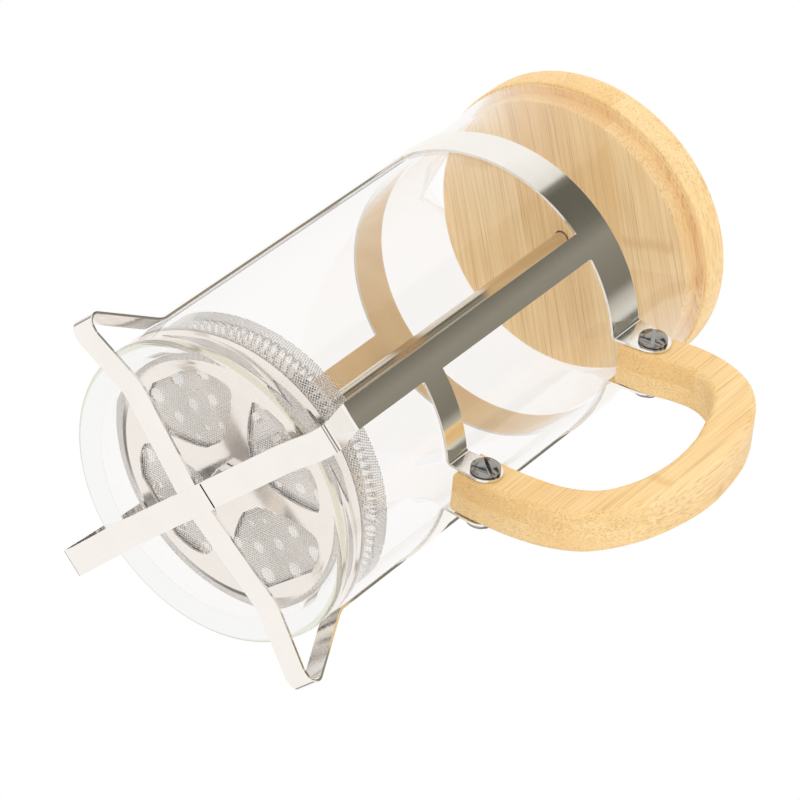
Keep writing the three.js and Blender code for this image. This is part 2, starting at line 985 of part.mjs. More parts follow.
// Materials
const finish = (color, roughness, metalness, extra = {}) =>
  new THREE.MeshStandardMaterial({ color, roughness, metalness, ...extra });
const glass = () => finish(0xf1f4ee, 0.04, 0, { transparent: true, opacity: 0.3 });
const polished = () => finish(0xcfcbc2, 0.16, 1);
const satin = () => finish(0xbdbab2, 0.3, 1);
const woven = () => finish(0xa9a7a1, 0.45, 0.9);
const bamboo = () => finish(0xe3ba76, 0.5, 0);

// Assembly
function piece(name, solid, material) {
  const mesh = new THREE.Mesh(geometryOf(solid), material);
  mesh.name = name;
  return mesh;
}

function placed(mesh, x, y, z) {
  mesh.position.set(x, y, z);
  return mesh;
}

const vessel = new THREE.Group();
vessel.add(
  piece("glass_beaker", beaker(), glass()),
  piece("strap_cage", cage(), polished()),
  piece("handle", handle(), bamboo()),
);
for (const [level, height, slot] of [
  ["upper", upperScrewHeight, upperSlotAngle],
  ["lower", lowerScrewHeight, lowerSlotAngle],
]) {
  const near = piece(level + "_handle_screw", screw(slot), satin());
  const far = piece(level + "_sleeve_nut", sleeveNut(-slot), satin());
  near.rotation.x = Math.PI / 2;
  far.rotation.x = -Math.PI / 2;
  vessel.add(placed(near, screwPlace, -(tabFace + strapGap), height));
  vessel.add(placed(far, screwPlace, tabFace + strapGap, height));
}

const cover = new THREE.Group();
cover.position.z = lidBottom;
cover.add(piece("lid", lid(), bamboo()));

const plunger = new THREE.Group();
plunger.position.z = nutBottom;
plunger.add(
  piece("plunger_rod", rod(), polished()),
  piece("hub_nut", hubNut(), satin()),
  placed(piece("cross_plate", crossPlate(), polished()), 0, 0, crossBottom - nutBottom),
  placed(piece("mesh_screen", screen(), woven()), 0, 0, screenBottom - nutBottom),
  placed(piece("spiral_plate", spiralPlate(), satin()), 0, 0, spiralBottom - nutBottom),
  placed(
    piece("edge_spring", edgeSpring(), satin()),
    0,
    0,
    spiralBottom - nutBottom + spiralRimHeight - springCurl,
  ),
  placed(piece("rod_collar", collar(), satin()), 0, 0, collarBottom - nutBottom),
  placed(piece("knob", knob(), bamboo()), 0, 0, knobBottom - nutBottom),
  placed(piece("knob_insert", insert(), satin()), 0, 0, knobBottom - nutBottom),
);

const press = new THREE.Group();
press.position.set(-outlineMiddle, 0, footDrop);
press.add(vessel, cover, plunger);

const frenchPress = new THREE.Group();
frenchPress.add(press);

export default frenchPress;
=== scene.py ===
"""Looks of a french press: glass beaker, steel strap cage, bamboo handle and lid, and a mesh plunger.

Shapes are written in millimetres, with X measured from the beaker's axis towards the handle and Z from the
underside of the glass. place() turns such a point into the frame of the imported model, in metres.
"""

import math

import bmesh
import bpy
from mathutils import Matrix, Vector


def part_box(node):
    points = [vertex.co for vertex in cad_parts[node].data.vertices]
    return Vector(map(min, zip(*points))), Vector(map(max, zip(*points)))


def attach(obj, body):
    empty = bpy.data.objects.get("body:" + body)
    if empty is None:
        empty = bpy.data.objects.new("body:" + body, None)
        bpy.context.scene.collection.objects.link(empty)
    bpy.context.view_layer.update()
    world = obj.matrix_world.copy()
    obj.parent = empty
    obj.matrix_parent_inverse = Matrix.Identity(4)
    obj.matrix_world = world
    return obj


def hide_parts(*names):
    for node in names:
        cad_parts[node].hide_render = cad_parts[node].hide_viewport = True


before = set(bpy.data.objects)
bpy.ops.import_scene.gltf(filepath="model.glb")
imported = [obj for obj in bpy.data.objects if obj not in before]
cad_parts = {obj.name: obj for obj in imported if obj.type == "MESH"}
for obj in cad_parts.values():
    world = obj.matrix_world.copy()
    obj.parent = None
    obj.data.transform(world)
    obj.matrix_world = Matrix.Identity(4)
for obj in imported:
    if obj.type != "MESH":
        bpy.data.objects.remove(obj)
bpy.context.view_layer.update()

MM = 0.001
TURN = 2 * math.pi

# Where the beaker's axis and the underside of the glass lie in the model's frame
rod_low, rod_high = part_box("plunger_rod")
glass_low, glass_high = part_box("glass_beaker")
ORIGIN = Vector(((rod_low.x + rod_high.x) / 2, 0, glass_low.z))


def level(cad_node, end=0):
    """Height in millimetres of the bottom (0) or top (1) of one of the model's nodes."""
    return (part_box(cad_node)[end].z - ORIGIN.z) / MM


# Beaker
GLASS_RADIUS = 48.5
GLASS_WALL = 2.1
GLASS_FLOOR = 3.0
GLASS_HEIGHT = (glass_high.z - glass_low.z) / MM
RIM_RADIUS = glass_high.y / MM
FLARE_HEIGHT = 21.0
HEEL_RADIUS = 2.6
BOWL_RADIUS = 8.0
SPOUT_REACH = 9.0
SPOUT_DROP = 15.5
SPOUT_HALF_ANGLE = math.radians(20)

# Strap cage
STRAP = 0.8
STRAP_MIDDLE = 49.1
STRAP_HALF_WIDTH = 4.3
STRAP_HALF_ANGLE = STRAP_HALF_WIDTH / STRAP_MIDDLE
STRAP_EDGE = 0.14
FILLET = 1.1
NOTCH = 0.3
RING_LOW, RING_HIGH = 134.4, 148.0
BAND_LOW, BAND_HIGH = 49.1, 58.2
LEG_TOP = 16.5
LEG_ROW = 2.5  # from the knee up to the first row of cells
FOOT_REACH = 61.6
FOOT_LOW = -6.7
FOLD_RADIUS = 2.6
SOLE = 1.8
ARM_LEVEL = -0.6
JOGGLE_LEVEL = -1.42
CROSSING = 6.1
JOGGLE_ENDS = {1: 11.0, 3: 2.2}  # by the number of the upright whose arm runs under the other strap
JOGGLE_RUN = 0.9
KNEE_BEND = 5
ARM_BEND = 20
ARM_FLAT = 37.0
SEAM_RADIUS = 1.7
SEAM_TURN = math.radians(315)
SEAM_WIDTH = 0.6
SEAM_FLOOR = -1.25
SEAM_SHADE = (-0.45, 0.05)  # heights over its floor
# Dark colour painted inside the seam's slot as its shade
SEAM_PAINTED_SHADE = (0.02, 0.018, 0.015)
WELD_BALL = 0.4
WELD_DEPTH = 0.05
LAP_WELD_RADIUS = CROSSING + 1
LAP_WELDS = (-3, -1.5, 0, 1.5, 3)  # across the strap
RING_WELD_LEVEL = RING_LOW + 5
RING_WELDS = (-83, -81)  # in degrees
UPRIGHTS = [math.radians(turn) for turn in (45, 135, 225, 315)]
COLUMN_STEP = math.radians(1.5)
TAB_BEND = 1.5
RING_TAB_RADIUS = 5.6
BAND_TAB_RADIUS = 5.2

# Handle and screws
HANDLE_HALF = 7.25
HANDLE_ROUNDING = 2.0
SCREW_X = 58.6
SCREW_LEVELS = {"lower": 53.65, "upper": 141.2}
TAB_MIDDLE = 7.85
HEAD_SEAT = 8.45
HEAD_RADIUS = 4.5
HEAD_HEIGHT = 2.5
HEAD_EDGE = 0.7
SLOT_WIDTH = 1.25
SLOT_DEPTH = 1.3
SLOT_TURNS = {"upper": -1.09, "lower": -0.67}
SCREW_SHANK = (2.0, 14.0)
NUT_SHANK = (2.7, 10.0)

# Lid and knob
LID_LOW = 184.9
LID_HIGH = 196.7
LID_RADIUS = 50.5
PLUG_LOW = 178.7
PLUG_RADIUS = 45.7
ROD_RADIUS = 2.25
ROD_GAP = 0.1
KNOB_LOW = 197.0
KNOB_RADIUS = 14.5
KNOB_HEIGHT = 27.0

# Filter
NUT_LOW = level("hub_nut")
CROSS_LOW = level("cross_plate")
SCREEN_LOW = level("mesh_screen")
SCREEN_TOP = level("mesh_screen", 1)
SPIRAL_LOW = level("spiral_plate")
SPIRAL_TOP = level("spiral_plate", 1)
COLLAR_LOW = level("rod_collar")
SPRING_MIDDLE = (level("edge_spring") + level("edge_spring", 1)) / 2
PLATE = 0.7
MESH = 0.5
SCREEN_GAP = 0.35
DISH_CORNER = 1.2
CROSS_FLAT = 38.6
CROSS_LIP = 41.3
CROSS_RISE = 2.0
SCREEN_FLAT = 38.25
SCREEN_STEP = 1.3
SKIRT_RISE = 2.8
SPIRAL_FLAT = 37.9
SPIRAL_RIM = 39.6
SPIRAL_RISE = 2.0
PETAL_TURN = 48
HOLE_TURN = 5
HOLES_IN_ROW = 18
HOLE_ROWS = ((32.5, 2.5), (23.6, 2.0), (15.7, 1.1))  # radius of the row and of its holes


def place(x, y, z):
    return ORIGIN + Vector((x, y, z)) * MM


def turned(radius, angle, z):
    return Vector((radius * math.cos(angle), radius * math.sin(angle), z))


def polar(radius, angle, z):
    return place(*turned(radius, angle, z))


def arc(cx, cy, radius, start, end, steps):
    """Points on a round stretch, angles in degrees."""
    made = []
    for i in range(steps + 1):
        a = math.radians(start + (end - start) * i / steps)
        made.append((cx + radius * math.cos(a), cy + radius * math.sin(a)))
    return made


def spline(points, steps):
    """A smooth line through the points."""
    made = []
    ends = [points[0]] + list(points) + [points[-1]]
    for i in range(1, len(ends) - 2):
        p0, p1, p2, p3 = (Vector(p) for p in ends[i - 1 : i + 3])
        for k in range(steps):
            t = k / steps
            a = 2 * p1
            b = (p2 - p0) * t
            c = (2 * p0 - 5 * p1 + 4 * p2 - p3) * t**2
            d = (3 * p1 - p0 - 3 * p2 + p3) * t**3
            made.append(tuple((a + b + c + d) / 2))
    made.append(tuple(points[-1]))
    return made


def mesh_of(bm, name):
    mesh = bpy.data.meshes.new(name)
    bm.to_mesh(mesh)
    bm.free()
    return mesh


def mesh_from(name, verts, faces, merge=1e-6, smooth_angle=35):
    bm = bmesh.new()
    made = [bm.verts.new(v) for v in verts]
    for f in faces:
        corners = [made[i] for i in f]
        if len(set(corners)) > 2:
            bm.faces.new(corners)
    bmesh.ops.remove_doubles(bm, verts=bm.verts, dist=merge)
    bmesh.ops.recalc_face_normals(bm, faces=bm.faces)
    mesh = mesh_of(bm, name)
    smooth(mesh, smooth_angle)
    return mesh


def smooth(mesh, angle):
    mesh.shade_smooth()
    mesh.set_sharp_from_angle(angle=math.radians(angle))


def lathe_mesh(name, profile, sides, closed=True, move=None, spot=polar, merge=1e-6):
    """Turns a profile of (radius, height), each point set down by spot() and first drawn out by move()."""
    verts, faces = [], []
    n = len(profile)
    for i in range(sides):
        a = TURN * i / sides
        for r, z in profile:
            extra = move(a, z, r) if move else 0
            verts.append(spot(r + extra, a, z))
    last = n if closed else n - 1
    for i in range(sides):
        j = (i + 1) % sides
        for k in range(last):
            m = (k + 1) % n
            if profile[k][0] == 0 and profile[m][0] == 0:
                continue
            faces.append((i * n + k, j * n + k, j * n + m, i * n + m))
    return mesh_from(name, verts, faces, merge)


def add_object(name, data):
    piece = bpy.data.objects.new(name, data)
    bpy.context.scene.collection.objects.link(piece)
    return piece


def worked_in(piece):
    """The piece's mesh with its modifiers worked in; the piece itself goes."""
    bpy.context.view_layer.update()
    graph = bpy.context.evaluated_depsgraph_get()
    made = bpy.data.meshes.new_from_object(piece.evaluated_get(graph))
    bpy.data.objects.remove(piece)
    return made


def level_normals(mesh):
    """The mesh with shading that keeps its large faces flat up to their rounded edges."""
    piece = add_object(mesh.name, mesh)
    piece.modifiers.new("normals", "WEIGHTED_NORMAL").keep_sharp = True
    return worked_in(piece)


def add_piece(name, mesh, material, body, cad_node):
    """Adds a finished piece, which stands for a node of the model on one of its bodies."""
    piece = add_object(name, level_normals(mesh))
    piece.data.materials.clear()
    piece.data.materials.append(material)
    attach(piece, body)
    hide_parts(cad_node)


def applied(piece, angle=35):
    """worked_in() shaded smooth, but for edges sharper than the angle in degrees."""
    mesh = worked_in(piece)
    smooth(mesh, angle)
    return mesh


def cut(mesh, cutter_mesh):
    piece = add_object("work", mesh)
    cutter = add_object("cutter", cutter_mesh)
    boolean = piece.modifiers.new("cut", "BOOLEAN")
    boolean.operation = "DIFFERENCE"
    boolean.solver = "EXACT"
    boolean.object = cutter
    made = applied(piece)
    bpy.data.objects.remove(cutter)
    return made


def bevelled(mesh, width, segments=2, angle=40):
    piece = add_object("work", mesh)
    bevel = piece.modifiers.new("bevel", "BEVEL")
    bevel.width = width * MM
    bevel.segments = segments
    bevel.limit_method = "ANGLE"
    bevel.angle_limit = math.radians(angle)
    return applied(piece, 50)


# Shader helpers
def new_material(name):
    material = bpy.data.materials.new(name)
    material.use_nodes = True
    tree = material.node_tree
    shader = tree.nodes["Principled BSDF"]
    return material, tree, shader


def node(tree, kind, **settings):
    made = tree.nodes.new(kind)
    for key, value in settings.items():
        made.inputs[key].default_value = value
    return made


def math_node(tree, operation, *values):
    made = tree.nodes.new("ShaderNodeMath")
    made.operation = operation
    for i, v in enumerate(values):
        if isinstance(v, (int, float)):
            made.inputs[i].default_value = v
        else:
            tree.links.new(v, made.inputs[i])
    return made.outputs[0]


def vector_node(tree, operation, source, value=None):
    made = tree.nodes.new("ShaderNodeVectorMath")
    made.operation = operation
    tree.links.new(source, made.inputs[0])
    if value is not None:
        made.inputs[1].default_value = value
    return made


def stretched(tree, source, scale):
    return vector_node(tree, "MULTIPLY", source, scale).outputs[0]


def parts_of(tree, vector):
    """The X, Y and Z outputs of a vector."""
    split = tree.nodes.new("ShaderNodeSeparateXYZ")
    tree.links.new(vector, split.inputs[0])
    return split.outputs


def offset_from(tree, centre):
    """Object coordinates measured from a point."""
    coords = tree.nodes.new("ShaderNodeTexCoord")
    return vector_node(tree, "SUBTRACT", coords.outputs["Object"], centre).outputs[0]


def noise(tree, vector, scales, detail, roughness=0.5):
    made = node(tree, "ShaderNodeTexNoise", Scale=1.0, Detail=detail, Roughness=roughness)
    tree.links.new(stretched(tree, vector, scales), made.inputs["Vector"])
    return made.outputs["Fac"]


def ramp(tree, value, low, high, start=0.0, end=1.0):
    made = tree.nodes.new("ShaderNodeMapRange")
    for key, number in (("From Min", low), ("From Max", high), ("To Min", start), ("To Max", end)):
        made.inputs[key].default_value = number
    tree.links.new(value, made.inputs["Value"])
    return made.outputs[0]


def mix_colour(tree, factor, first, second):
    made = tree.nodes.new("ShaderNodeMix")
    made.data_type = "RGBA"
    tree.links.new(factor, made.inputs["Factor"])
    for socket, value in ((made.inputs[6], first), (made.inputs[7], second)):
        if isinstance(value, tuple):
            socket.default_value = (*value, 1)
        else:
            tree.links.new(value, socket)
    return made.outputs[2]


def colour_stops(tree, value, stops):
    """A colour for each value, through stops of (value, colour)."""
    made = tree.nodes.new("ShaderNodeValToRGB")
    tree.links.new(value, made.inputs[0])
    elements = made.color_ramp.elements
    for at, colour in stops:
        elements.new(at).color = (*colour, 1)
    elements.remove(elements[0])
    elements.remove(elements[-1])
    return made.outputs[0]


def mix_shader(tree, factor, first, second):
    made = tree.nodes.new("ShaderNodeMixShader")
    for socket, source in zip(made.inputs, (factor, first, second)):
        tree.links.new(source, socket)
    return made.outputs[0]


def bump(tree, shader, height, strength, distance):
    made = node(tree, "ShaderNodeBump", Strength=strength, Distance=distance)
    tree.links.new(height, made.inputs["Height"])
    tree.links.new(made.outputs["Normal"], shader.inputs["Normal"])


def object_coords(tree, turn=(0, 0, 0)):
    coords = tree.nodes.new("ShaderNodeTexCoord")
    mapping = tree.nodes.new("ShaderNodeMapping")
    mapping.inputs["Rotation"].default_value = turn
    tree.links.new(coords.outputs["Object"], mapping.inputs["Vector"])
    return mapping.outputs["Vector"]


# Bamboo: X of the turned coordinates runs along the fibres
BAMBOO_LIGHT = (0.93, 0.69, 0.355)
BAMBOO_MID = (0.84, 0.56, 0.235)
BAMBOO_WARM = (0.80, 0.47, 0.17)
BAMBOO_DEEP = (0.68, 0.38, 0.13)
BAMBOO_FIBRE = (0.50, 0.25, 0.07)
STALK_JOINT_STEP = 0.095


def bamboo(name, turn, strip, layer):
    """strip and layer are the widths of the glued strips across the fibres, in millimetres."""
    material, tree, shader = new_material(name)
    coords = object_coords(tree, turn)
    strips = vector_node(tree, "FLOOR", stretched(tree, coords, (4, 1000 / strip, 1000 / layer)))
    each = tree.nodes.new("ShaderNodeTexWhiteNoise")
    tree.links.new(strips.outputs[0], each.inputs["Vector"])
    strip_tone = each.outputs["Value"]

    # Fine streaks along the fibres, broader clouds, and a tone for each strip
    streaks = noise(tree, coords, (22, 1100, 1100), 3, 0.65)
    broad = noise(tree, coords, (12, 120, 120), 2)
    tone = math_node(tree, "ADD", ramp(tree, streaks, 0.3, 0.7, -0.35, 0.75), strip_tone)
    tone = math_node(tree, "ADD", tone, ramp(tree, broad, 0.3, 0.7, -0.25, 0.25))
    ground = mix_colour(tree, ramp(tree, tone, 0.1, 1.15), BAMBOO_LIGHT, BAMBOO_MID)

    # Warmer patches
    patches = noise(tree, coords, (30, 55, 55), 3)
    ground = mix_colour(tree, ramp(tree, patches, 0.5, 0.72, 0, 0.42), ground, BAMBOO_WARM)

    # Bundles of fibres: dots on cut ends, dashes along the sides
    bundles = node(tree, "ShaderNodeTexVoronoi", Scale=1.0)
    tree.links.new(stretched(tree, coords, (24, 1750, 1750)), bundles.inputs["Vector"])
    dots = ramp(tree, bundles.outputs["Distance"], 0.1, 0.5, 0.66, 0)
    dense = ramp(tree, noise(tree, coords, (9, 260, 260), 2), 0.3, 0.65, 0.25, 1)
    dots = math_node(tree, "MULTIPLY", dots, dense)
    colour = mix_colour(tree, dots, ground, BAMBOO_FIBRE)

    # Darker joints of the stalk, one across each strip now and then
    waver = noise(tree, coords, (90, 260, 260), 2)
    shift = math_node(tree, "MULTIPLY", strip_tone, 2 * STALK_JOINT_STEP)
    along = math_node(tree, "ADD", parts_of(tree, coords)["X"], shift)
    along = math_node(tree, "ADD", along, math_node(tree, "MULTIPLY", waver, 0.004))
    joint = ramp(tree, math_node(tree, "PINGPONG", along, STALK_JOINT_STEP), 0.0006, 0.0028, 0.42, 0)
    colour = mix_colour(tree, joint, colour, BAMBOO_DEEP)
    tree.links.new(colour, shader.inputs["Base Color"])
    tree.links.new(ramp(tree, streaks, 0.3, 0.7, 0.42, 0.56), shader.inputs["Roughness"])
    shader.inputs["Coat Weight"].default_value = 0.1
    shader.inputs["Coat Roughness"].default_value = 0.35
    height = math_node(tree, "SUBTRACT", streaks, dots)
    bump(tree, shader, height, 0.2, 0.0002)
    return material


def steel(name, colour, roughness, grain):
    """Polished sheet with faint rolling lines and smudges."""
    material, tree, shader = new_material(name)
    coords = object_coords(tree)
    lines = noise(tree, coords, grain, 3, 0.6)
    smudge = noise(tree, coords, (70, 70, 70), 3)
    dulled = tuple(c * 0.9 for c in colour)
    shade = mix_colour(tree, ramp(tree, smudge, 0.35, 0.75, 0, 0.35), colour, dulled)
    tree.links.new(shade, shader.inputs["Base Color"])
    lined, smudged = ramp(tree, lines, 0.3, 0.7, 0, 0.05), ramp(tree, smudge, 0.4, 0.8, 0, 0.06)
    rough = math_node(tree, "ADD", math_node(tree, "ADD", lined, smudged), roughness)
    tree.links.new(rough, shader.inputs["Roughness"])
    shader.inputs["Metallic"].default_value = 1
    bump(tree, shader, lines, 0.03, 0.0001)
    return material


# Glass: clear, but for an olive line at the heel where one looks into its thickness
GLASS_TINT = (0.99, 0.984, 0.98)
GLASS_HEEL_TINT = (0.74, 0.75, 0.58)
GLASS_STRAIGHT = (0.98, 0.972, 0.966)
# Colour of the painted glow that ends what runs round inside the glass walls
GLASS_GLOW = (0.93, 0.93, 0.925)
GLASS_IOR = 1.47
HEEL_TINT_RADII = (46.5 * MM, 46.9 * MM)
HEEL_TINT_HEIGHTS = (1.4 * MM, 1.0 * MM)


def clear_glass():
    """Glass that lets lamp light through, and ends what runs round inside its walls in a painted pale glow.
    """
    material, tree, shader = new_material("clear_glass")
    x, y, z = parts_of(tree, offset_from(tree, ORIGIN))
    radius = math_node(tree, "ADD", math_node(tree, "POWER", x, 2), math_node(tree, "POWER", y, 2))
    radius = math_node(tree, "SQRT", radius)
    low, outer = ramp(tree, z, *HEEL_TINT_HEIGHTS), ramp(tree, radius, *HEEL_TINT_RADII)
    tint = mix_colour(tree, math_node(tree, "MULTIPLY", outer, low), GLASS_TINT, GLASS_HEEL_TINT)
    tree.links.new(tint, shader.inputs["Base Color"])
    shader.inputs["Roughness"].default_value = 0
    shader.inputs["IOR"].default_value = GLASS_IOR
    shader.inputs["Transmission Weight"].default_value = 1
    through = node(tree, "ShaderNodeBsdfTransparent", Color=(*GLASS_STRAIGHT, 1))
    pale = node(tree, "ShaderNodeEmission", Color=(*GLASS_GLOW, 1))
    ray = tree.nodes.new("ShaderNodeLightPath").outputs
    side = tree.nodes.new("ShaderNodeNewGeometry").outputs

    # Lamp light, and what steel mirrored after it came through the glass, go straight through
    lamp_ray = math_node(tree, "MAXIMUM", ray["Is Shadow Ray"], ray["Is Diffuse Ray"])
    reflected = math_node(tree, "GREATER_THAN", ray["Glossy Depth"], 0.5)
    entered = math_node(tree, "GREATER_THAN", ray["Transmission Depth"], 0.5)
    straight = math_node(tree, "MAXIMUM", lamp_ray, math_node(tree, "MULTIPLY", reflected, entered))
    mixed = mix_shader(tree, straight, shader.outputs[0], through.outputs[0])

    # What the glass itself mirrors inside its wall ends at the next surface in a painted pale glow
    mirrored = math_node(tree, "MULTIPLY", ray["Is Singular Ray"], ray["Is Reflection Ray"])
    inside = math_node(tree, "MULTIPLY", side["Backfacing"], entered)
    ended = mix_shader(tree, math_node(tree, "MULTIPLY", mirrored, inside), mixed, pale.outputs[0])
    tree.links.new(ended, tree.nodes["Material Output"].inputs["Surface"])
    return material


lid_bamboo = bamboo("lid_bamboo", (0, 0, math.radians(-73)), 19, 40)
handle_bamboo = bamboo("handle_bamboo", (0, math.radians(90), 0), 7.4, 26)
cage_steel = steel("cage_steel", (0.93, 0.915, 0.885), 0.06, (300, 300, 900))
filter_steel = steel("filter_steel", (0.91, 0.89, 0.86), 0.1, (250, 250, 250))
fastener_steel = steel("fastener_steel", (0.36, 0.35, 0.34), 0.08, (400, 400, 400))
rod_steel = steel("rod_steel", (0.77, 0.71, 0.61), 0.1, (250, 250, 250))
wire_steel = steel("wire_steel", (0.95, 0.935, 0.92), 0.3, (900, 900, 900))
glass_material = clear_glass()


def darken_seam(material):
    """Painted shade inside the slot of the seam, told apart from the strap by its place."""
    tree = material.node_tree
    low, high = SEAM_SHADE
    local = offset_from(tree, polar(SEAM_RADIUS, SEAM_TURN, SEAM_FLOOR))
    along_arm = (math.cos(SEAM_TURN), math.sin(SEAM_TURN), 0)
    across = math_node(tree, "ABSOLUTE", vector_node(tree, "DOT_PRODUCT", local, along_arm).outputs["Value"])
    distance = vector_node(tree, "LENGTH", local).outputs["Value"]
    height = parts_of(tree, local)["Z"]
    mask = math_node(tree, "LESS_THAN", distance, STRAP_HALF_WIDTH * MM)
    for inside in (
        math_node(tree, "LESS_THAN", across, (SEAM_WIDTH / 2 + 0.05) * MM),
        math_node(tree, "GREATER_THAN", height, low * MM),
        math_node(tree, "LESS_THAN", height, high * MM),
    ):
        mask = math_node(tree, "MULTIPLY", mask, inside)
    socket = tree.nodes["Principled BSDF"].inputs["Base Color"]
    plain = socket.links[0].from_socket
    tree.links.new(mix_colour(tree, mask, plain, SEAM_PAINTED_SHADE), socket)


darken_seam(cage_steel)


# Beaker
def spout_pull(angle, z, radius):
    """How far the glass is drawn out towards -X at its spout."""
    start = GLASS_HEIGHT - GLASS_WALL / 2 - SPOUT_DROP
    rise = min((z - start) / SPOUT_DROP, 1)
    if rise <= 0 or radius < GLASS_RADIUS - GLASS_WALL - BOWL_RADIUS:
        return 0
    off = abs(angle % TURN - math.pi)
    width = SPOUT_HALF_ANGLE * rise
    if off >= width:
        return 0
    return SPOUT_REACH * rise * math.cos(math.pi / 2 * off / width) ** 2


def make_beaker():
    flare = []
    steps = 24
    for i in range(steps):
        rise = i / steps
        out = (RIM_RADIUS - GLASS_RADIUS) * rise * rise
        flare.append((out, GLASS_HEIGHT - FLARE_HEIGHT + (FLARE_HEIGHT - GLASS_WALL / 2) * rise))
    inner = GLASS_RADIUS - GLASS_WALL
    profile = [(0, 0)]
    profile += arc(GLASS_RADIUS - HEEL_RADIUS, HEEL_RADIUS, HEEL_RADIUS, -90, 0, 8)
    profile += [(GLASS_RADIUS + x, z) for x, z in flare]
    profile += arc(RIM_RADIUS - GLASS_WALL / 2, GLASS_HEIGHT - GLASS_WALL / 2, GLASS_WALL / 2, 0, 180, 8)
    profile += [(inner + x, z) for x, z in reversed(flare)]
    profile += arc(inner - BOWL_RADIUS, GLASS_FLOOR + BOWL_RADIUS, BOWL_RADIUS, 0, -90, 8)
    profile += [(0, GLASS_FLOOR)]
    mesh = lathe_mesh("beaker", profile, 240, True, spout_pull)
    add_piece("beaker", mesh, glass_material, "vessel", "glass_beaker")


# Strap cage: one sheet of cells on a cylinder, with legs and tabs led off its edges, then thickened
def rounded(before, corner, after, radius, steps):
    """The round stretch that takes the place of a corner."""
    back = (before - corner).normalized()
    ahead = (after - corner).normalized()
    half = back.angle(ahead) / 2
    middle = corner + (back + ahead).normalized() * (radius / math.sin(half))
    start = corner + back * (radius / math.tan(half))
    end = corner + ahead * (radius / math.tan(half))
    a = math.atan2(start.y - middle.y, start.x - middle.x)
    sweep = math.atan2(end.y - middle.y, end.x - middle.x) - a
    sweep = (sweep + math.pi) % TURN - math.pi
    first, last = math.degrees(a), math.degrees(a + sweep)
    return [Vector(p) for p in arc(middle.x, middle.y, radius, first, last, steps)]


def leg_line(joggle):
    """Middle line of a leg, its folded foot and its arm to the beaker's axis, as (radius, height).

    joggle is where the arm steps down under the other strap, or None.
    """
    knee = Vector((STRAP_MIDDLE, LEG_TOP))
    outer = Vector((FOOT_REACH - STRAP / 2 - FOLD_RADIUS, FOOT_LOW + FOLD_RADIUS))
    inner = outer - Vector((SOLE, 0))
    slope = Vector((ARM_FLAT, ARM_LEVEL))

    def touch(start, center, side):
        """Where on the fold, in degrees, a straight line from start runs into it."""
        away = start - center
        return math.degrees(math.atan2(away.y, away.x) + side * math.acos(FOLD_RADIUS / away.length))

    fold = [Vector(p) for p in arc(*outer, FOLD_RADIUS, touch(knee, outer, -1), -90, 10)]
    back = [Vector(p) for p in arc(*inner, FOLD_RADIUS, -90, touch(slope, inner, 1) - 360, 3)]
    line = rounded(knee + Vector((0, LEG_TOP)), knee, fold[0], KNEE_BEND, 8) + fold + back
    line += rounded(back[-1], slope, Vector((0, ARM_LEVEL)), ARM_BEND, 4)
    if not joggle:
        return line + [Vector((0, ARM_LEVEL))]
    steps = ((joggle + JOGGLE_RUN, ARM_LEVEL), (joggle, JOGGLE_LEVEL), (0, JOGGLE_LEVEL))
    return line + [Vector(p) for p in steps]


def span(start, end, steps):
    return [start + (end - start) * i / steps for i in range(steps + 1)]


def block(size, turn, middle, unit=MM):
    """A box of the given size, turned about Z and set down by its middle."""
    bm = bmesh.new()
    bmesh.ops.create_cube(bm, size=unit)
    bmesh.ops.scale(bm, vec=size, verts=bm.verts)
    bmesh.ops.rotate(bm, matrix=Matrix.Rotation(turn, 3, "Z"), verts=bm.verts)
    bmesh.ops.translate(bm, vec=middle, verts=bm.verts)
    return mesh_of(bm, "block")


def weld_ball(middle):
    bm = bmesh.new()
    bmesh.ops.create_icosphere(bm, subdivisions=2, radius=WELD_BALL * MM)
    bmesh.ops.translate(bm, vec=middle, verts=bm.verts)
    return mesh_of(bm, "ball")


def seam_cutter():
    """The open seam where the lapped arm ends."""
    length, height = 2 * STRAP_HALF_WIDTH - 0.5, 1
    middle = polar(SEAM_RADIUS, SEAM_TURN, SEAM_FLOOR - height / 2)
    return block((SEAM_WIDTH, length, height), SEAM_TURN, middle)


def weld_dimples():
    """Small marks of spot welds on the lapped arms, and one pair on the ring."""
    made = []
    out = turned(1, UPRIGHTS[1], 0)
    side = Vector((-out.y, out.x, 0))
    off = STRAP / 2 + WELD_BALL - WELD_DEPTH
    for across in LAP_WELDS:
        spot = out * LAP_WELD_RADIUS + side * across
        made.append(weld_ball(place(spot.x, spot.y, JOGGLE_LEVEL - off)))
    for turn in RING_WELDS:
        made.append(weld_ball(polar(STRAP_MIDDLE + off, math.radians(turn), RING_WELD_LEVEL)))
    return made


